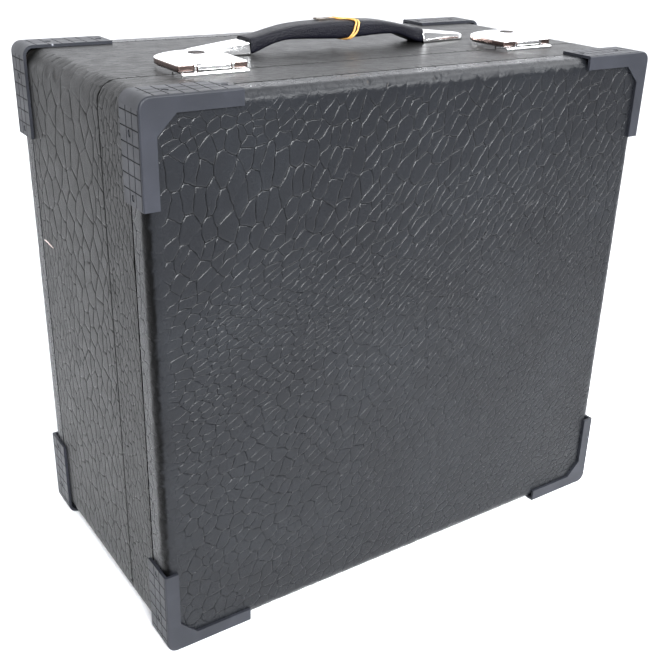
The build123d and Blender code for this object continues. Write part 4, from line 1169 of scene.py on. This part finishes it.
def grip_section(x, grow=0.0):
    ax = -abs(x)
    b, t, w = pchip(ax, GX, GB) - grow, pchip(ax, GX, GT) + grow, pchip(ax, GX, GW) + grow
    hh = t - b
    zc = (t + b) / 2
    pts = []
    n = 56
    for i in range(n):
        a = 2 * math.pi * (i + 0.5) / n
        c, s_ = math.cos(a), math.sin(a)
        e = 0.30 if s_ > 0 else 0.38
        y = w * math.copysign(abs(c) ** e, c)
        z = zc + hh / 2 * math.copysign(abs(s_) ** e, s_)
        if s_ > 0:
            z += 0.35 * (1 - (y / w) ** 2)
            y *= 1.0 - 0.10 * s_
        wob = 0.12 * noise.noise(Vector((x * 0.11, y * 0.16, z * 0.16)))
        pts.append((x, HY + y * (1 + wob * 0.05), ZT + z + wob))
    return pts


def handle_half(name, xs, body_nodes, extra):
    rings = [grip_section(x) for x in xs]
    lip = [(rings[0][i][0], HY + (p[1] - HY) * 0.86, ZT + 7 + (p[2] - ZT - 7) * 0.86) for i, p in enumerate(rings[0])]
    rings = [lip] + rings
    ob = loft(name, rings, M_GRIP, cap_start=True, cap_end=False, sharp_rings=(1,))
    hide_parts(*body_nodes)
    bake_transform(ob)
    return ob


SPLIT_X = 7.0
left_xs = list(np.linspace(-92.3, -56, 20)) + list(np.linspace(-53, SPLIT_X, 24))
right_xs = list(np.linspace(92.3, 56, 20)) + list(np.linspace(53, SPLIT_X, 20))
handle_half("handle_vinyl_left", left_xs, ("handle_end_left", "handle_grip"), 0)
handle_half("handle_vinyl_right", right_xs, ("handle_end_right",), 0)

# ---- doubled rubber band
def band_loop(name, anchors, r, body):
    """anchors: (x, angle in degrees round the grip) for one turn."""
    pts = []
    n = 72
    xs = np.array([a[0] for a in anchors] + [anchors[0][0]])
    an = np.array([a[1] for a in anchors] + [anchors[0][1] + 360.0])
    for i in range(n):
        a = an[0] + 360.0 * i / n
        k = int(np.searchsorted(an, a, side="right") - 1)
        t = (a - an[k]) / (an[k + 1] - an[k])
        t = t * t * (3 - 2 * t)
        x = xs[k] + (xs[k + 1] - xs[k]) * t
        sec = grip_section(x, grow=r * 0.9)
        ar = math.radians(a)
        # place on the section in this direction
        best = None
        cz = ZT + (pchip(-abs(x), GX, GB) + pchip(-abs(x), GX, GT)) / 2
        d = Vector((math.cos(ar), math.sin(ar)))
        m = len(sec)
        for j in range(m):
            p, q = Vector((sec[j][1] - HY, sec[j][2] - cz)), Vector((sec[(j + 1) % m][1] - HY, sec[(j + 1) % m][2] - cz))
            e = q - p
            den = d.x * e.y - d.y * e.x
            if abs(den) < 1e-9:
                continue
            s_ = (p.x * e.y - p.y * e.x) / den
            u = (p.x * d.y - p.y * d.x) / den
            if s_ > 0 and -1e-6 <= u <= 1 + 1e-6 and (best is None or s_ > best):
                best = s_
        pts.append((x, HY + d.x * best, cz + d.y * best))
    P = np.array(pts)
    P = (np.roll(P, 1, 0) + 2 * P + np.roll(P, -1, 0)) / 4
    rings = []
    m = 10
    for i in range(n):
        tan = Vector(P[(i + 1) % n] - P[i - 1]).normalized()
        side = tan.cross(Vector((1, 0, 0))).normalized()
        up = tan.cross(side).normalized()
        rings.append([tuple(Vector(P[i]) + side * (r * 0.8 * math.cos(2 * math.pi * j / m)) + up * (r * math.sin(2 * math.pi * j / m))) for j in range(m)])
    rings.append(rings[0])
    return loft(name, rings, M_BAND)


b1 = band_loop("s1", [(3.0, -90), (3.5, -30), (2.0, 0), (-1.5, 60), (1.0, 90), (11.0, 125), (14.5, 150), (12.0, 180), (6.5, 215), (4.0, 240)], 0.95, "handle")
b2 = band_loop("s2", [(5.0, -90), (6.0, -30), (5.5, 0), (3.0, 60), (6.0, 90), (14.0, 125), (17.3, 150), (15.6, 180), (9.0, 215), (6.0, 240)], 0.95, "handle")
rb = join("rubber_band_strands", [b1, b2], M_BAND)
finish_piece(rb, "handle", "ochre_rubber", "rubber_band")

# ---- padded plush linings
def round_rect(hx, hz, r, n=10, k=14):
    pts = []
    for cx_, cz_, a0 in ((hx - r, hz - r, 0), (-hx + r, hz - r, 90), (-hx + r, -hz + r, 180), (hx - r, -hz + r, 270)):
        for i in range(n + 1):
            a = math.radians(a0 + 90 * i / n)
            pts.append((cx_ + r * math.cos(a), cz_ + r * math.sin(a)))
        nx_ = {0: (-1, 0), 90: (0, -1), 180: (1, 0), 270: (0, 1)}[a0]
        L = 2 * (hx - r) if nx_[0] else 2 * (hz - r)
        p = pts[-1]
        for i in range(1, k):
            pts.append((p[0] + nx_[0] * L * i / k, p[1] + nx_[1] * L * i / k))
    return pts


def lining(name, node_name, body, y_lip, y_floor, seed):
    lo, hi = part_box(node_name)
    hx, hz = (hi.x - lo.x) / 2 / MM, (hi.z - lo.z) / 2 / MM
    zc = (hi.z + lo.z) / 2 / MM
    sg = 1 if y_floor > y_lip else -1
    depth_ = abs(y_floor - y_lip)
    rings = []

    def ring(inset, y, r, puff=0.0):
        pts = []
        for x, z in round_rect(hx - inset, hz - inset, max(2.0, r)):
            f = noise.noise(Vector((x * 0.012 + seed, z * 0.012, y * 0.02))) * puff
            s_ = 1 - f / 230.0
            pts.append((x * s_, y, zc + z * s_))
        return pts
    R0 = 8.5
    rings.append(ring(0.05, y_floor - sg * 0.1, R0))
    rings.append(ring(0.05, y_floor - sg * depth_ * 0.5, R0))
    rings.append(ring(0.05, y_lip + sg * 1.6, R0))
    rings.append(ring(0.5, y_lip + sg * 0.5, R0 - 0.5))
    rings.append(ring(1.9, y_lip + sg * 0.05, R0 - 1.5))
    rings.append(ring(3.3, y_lip + sg * 0.35, R0 - 2.5))
    rings.append(ring(4.6, y_lip + sg * 1.6, R0 - 3.0))
    rings.append(ring(5.0, y_lip + sg * 4.5, R0 - 3.0, 0.4))
    m = max(4, int(depth_ / 12))
    for i in range(1, m):
        f = i / m
        bul = 0.7 * math.sin(math.pi * f)
        rings.append(ring(5.0 + bul, y_lip + sg * (4.5 + (depth_ - 18) * f), R0 - 3.0 + 4 * f, 0.8))
    yf = y_floor - sg * 5.0
    for i in range(1, 7):
        a = math.pi / 2 * i / 6
        rings.append(ring(5.3 + 8 * (1 - math.cos(a)), yf - sg * 8 * (1 - math.sin(a)), 12.0, 0.5))
    last = rings[-1]
    for f in (0.985, 0.95, 0.9, 0.82, 0.72, 0.6, 0.48, 0.36, 0.24, 0.12):
        pts = []
        for x, y, z in last:
            xx, zz = x * f, zc + (z - zc) * f
            dy = 0.9 * (1 - f ** 6) + 0.5 * noise.noise(Vector((xx * 0.02, zz * 0.02, seed)))
            pts.append((xx, y - sg * dy, zz))
        rings.append(pts)
    ob = loft(name, rings, M_PLUSH, cap_start=True, cap_end=True)
    return finish_piece(ob, body, "plush_lining", node_name)


for nm, nd, bd in (("lid_plush", "lid_lining", "lid"), ("base_plush", "base_lining", "base")):
    lo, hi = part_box(nd)
    if bd == "lid":
        lining(nm, nd, bd, hi.y / MM, lo.y / MM, 3.0)
    else:
        lining(nm, nd, bd, lo.y / MM, hi.y / MM, 8.0)

# ================================================================ CAD parts that keep their shape
for n in NODES:
    if "_corner_" in n and "rivets" not in n:
        give(NODES[n], M_PLASTIC)
# painted shade: a near-black copy of the corner plastic on the bottoms and walls of the protectors' grid grooves, for
# the shade in them
M_GROOVE_SHADE = plastic_material("corner_plastic_groove_shade", (0.004, 0.004, 0.005), (0.006, 0.006, 0.008), 0.7)
OUT_X, OUT_T, PLATE = HX + T, ZC + HZ + T, 0.12
for n in NODES:
    if "_corner_" in n and "rivets" not in n:
        me = NODES[n].data
        me.materials.append(M_GROOVE_SHADE)
        mw = NODES[n].matrix_world
        for p in me.polygons:
            nr = (mw.to_3x3() @ p.normal).normalized()
            vs = [mw @ me.vertices[i].co / MM for i in p.vertices]
            for dist, axis in (([OUT_X - abs(v.x) for v in vs], 0), ([OUT_T - v.z for v in vs], 2), ([v.z for v in vs], 2)):
                bottom = abs(nr[axis]) > 0.97 and all(0.3 < d < 0.7 for d in dist)
                side = abs(nr[axis]) < 0.05 and all(-0.05 < d < 0.7 for d in dist) and max(dist) > 0.3
                if bottom or side:
                    p.material_index = 1
for n in ("lid_corner_rivets", "base_corner_rivets"):
    give(NODES[n], M_RIVET)
for n in ("lid_shell", "base_shell"):
    give(NODES[n], M_WOOD)
give(NODES["base_rim"], M_RIM)
for n in ("hinge_leaves_base", "hinge_leaves_lid", "hinge_pins", "hinge_screws_base", "hinge_screws_lid", "handle_screws",
          "handle_strap_left", "handle_strap_right"):
    give(NODES[n], M_STEEL)
for n in ("lock_plug_left", "lock_plug_right"):
    give(NODES[n], M_PLUG)
for n in ("catch_plate_left", "catch_plate_right", "latch_plate_left", "latch_plate_right", "latch_cover_left", "latch_cover_right",
          "handle_cap_left", "handle_cap_right", "latch_rivets_lid", "latch_rivets_base",
          "latch_pin_left", "latch_pin_right"):
    give(NODES[n], M_CHROME)
for n in ("handle_grip", "handle_end_left", "handle_end_right"):
    give(NODES[n], M_GRIP)
give(NODES["rubber_band"], M_BAND)
give(NODES["keys"], M_KEY)
for n in ("lid_lining", "base_lining"):
    give(NODES[n], M_PLUSH)

# ================================================================ floor, light, camera
bm = bmesh.new()
bmesh.ops.create_grid(bm, x_segments=1, y_segments=1, size=6.0)
floor = from_bmesh("floor", bm, M_SCRATCH, smooth=False)
fm, fnt, fb = new_mat("pale_floor")
fc = ramp(fnt, noise_tex(fnt, coords(fnt), 2.2, 3.0, 0.6), [(0.3, (0.93, 0.935, 0.945)), (0.7, (0.96, 0.962, 0.967))])
fnt.links.new(fc, fb.inputs["Base Color"])
fb.inputs["Roughness"].default_value = 0.6
fb.inputs["Emission Color"].default_value = (1.0, 1.0, 1.0, 1.0)
fb.inputs["Emission Strength"].default_value = 0.05
give(floor, fm)

world = bpy.data.worlds.new("studio")
bpy.context.scene.world = world
world.use_nodes = True
wn = world.node_tree
wn.nodes.clear()
wo = wn.nodes.new("ShaderNodeOutputWorld")
bg = wn.nodes.new("ShaderNodeBackground")
bg.inputs["Color"].default_value = (0.945, 0.96, 1.0, 1)
wc = wn.nodes.new("ShaderNodeTexCoord")
wd = wn.nodes.new("ShaderNodeVectorMath")
wd.operation = "DOT_PRODUCT"
wn.links.new(wc.outputs["Generated"], wd.inputs[0])
wd.inputs[1].default_value = (0.25, 0.90, 0.22)
wm = wn.nodes.new("ShaderNodeMapRange")
wn.links.new(wd.outputs["Value"], wm.inputs["Value"])
for key, val in (("From Min", -0.3), ("From Max", 0.7), ("To Min", 0.42), ("To Max", 2.05)):
    wm.inputs[key].default_value = val
wn.links.new(wm.outputs["Result"], bg.inputs["Strength"])
seen = wn.nodes.new("ShaderNodeBackground")
seen.inputs["Color"].default_value = (1.0, 1.0, 1.0, 1)
seen.inputs["Strength"].default_value = 1.15
lp = wn.nodes.new("ShaderNodeLightPath")
mx = wn.nodes.new("ShaderNodeMixShader")
wn.links.new(lp.outputs["Is Camera Ray"], mx.inputs["Fac"])
wn.links.new(bg.outputs[0], mx.inputs[1])
wn.links.new(seen.outputs[0], mx.inputs[2])
wn.links.new(mx.outputs[0], wo.inputs["Surface"])
bpy.context.scene.view_settings.view_transform = "Standard"
bpy.context.scene.view_settings.look = "None"


def area(name, loc, target, size, power, color=(1, 1, 1), size_y=None):
    ld = bpy.data.lights.new(name, "AREA")
    ld.energy = power
    ld.color = color
    ld.size = size
    if size_y:
        ld.shape = "RECTANGLE"
        ld.size_y = size_y
    ob = bpy.data.objects.new(name, ld)
    bpy.context.scene.collection.objects.link(ob)
    ob.location = loc
    ob.rotation_mode = "QUATERNION"
    ob.rotation_quaternion = (Vector(target) - Vector(loc)).to_track_quat("-Z", "Y")
    return ob


area("front_window", (-0.50, -1.90, 1.20), (-0.10, -0.13, 0.32), 0.9, 15, (0.96, 0.98, 1.0), 0.5).data.spread = math.radians(60)
area("front_sky", (0.95, -1.85, 1.50), (-0.05, -0.13, 0.45), 1.7, 8.0, (0.96, 0.98, 1.0), 0.5).data.spread = math.radians(60)
area("top_front", (1.20, -0.69, 1.95), (0.0, -0.13, 0.45), 1.1, 22, (0.95, 0.97, 1.0), 1.1)
area("right_soft", (1.5, -0.2, 2.0), (0.2, 0.1, 0.1), 1.6, 18, (0.98, 0.99, 1.0), 1.6)

cam_data = bpy.data.cameras.new("camera")
cam = bpy.data.objects.new("camera", cam_data)
bpy.context.scene.collection.objects.link(cam)
bpy.context.scene.camera = cam
cam_data.sensor_width = 36.0
cam_data.lens = 52.25
cam_data.shift_x = -0.02533
cam_data.shift_y = -0.01253
right = Vector((0.82332803, -0.56663592, 0.032476)).normalized()
down = Vector((-0.20780731, -0.35420413, -0.91178701)).normalized()
fwd = Vector((0.52815441, 0.74395105, -0.40937727)).normalized()
rot = Matrix((right, -down, -fwd)).transposed()
cam.matrix_world = Matrix.Translation(Vector((-0.49971, -0.72903, 0.59686))) @ rot.to_4x4()
cam_data.clip_start, cam_data.clip_end = 0.02, 50
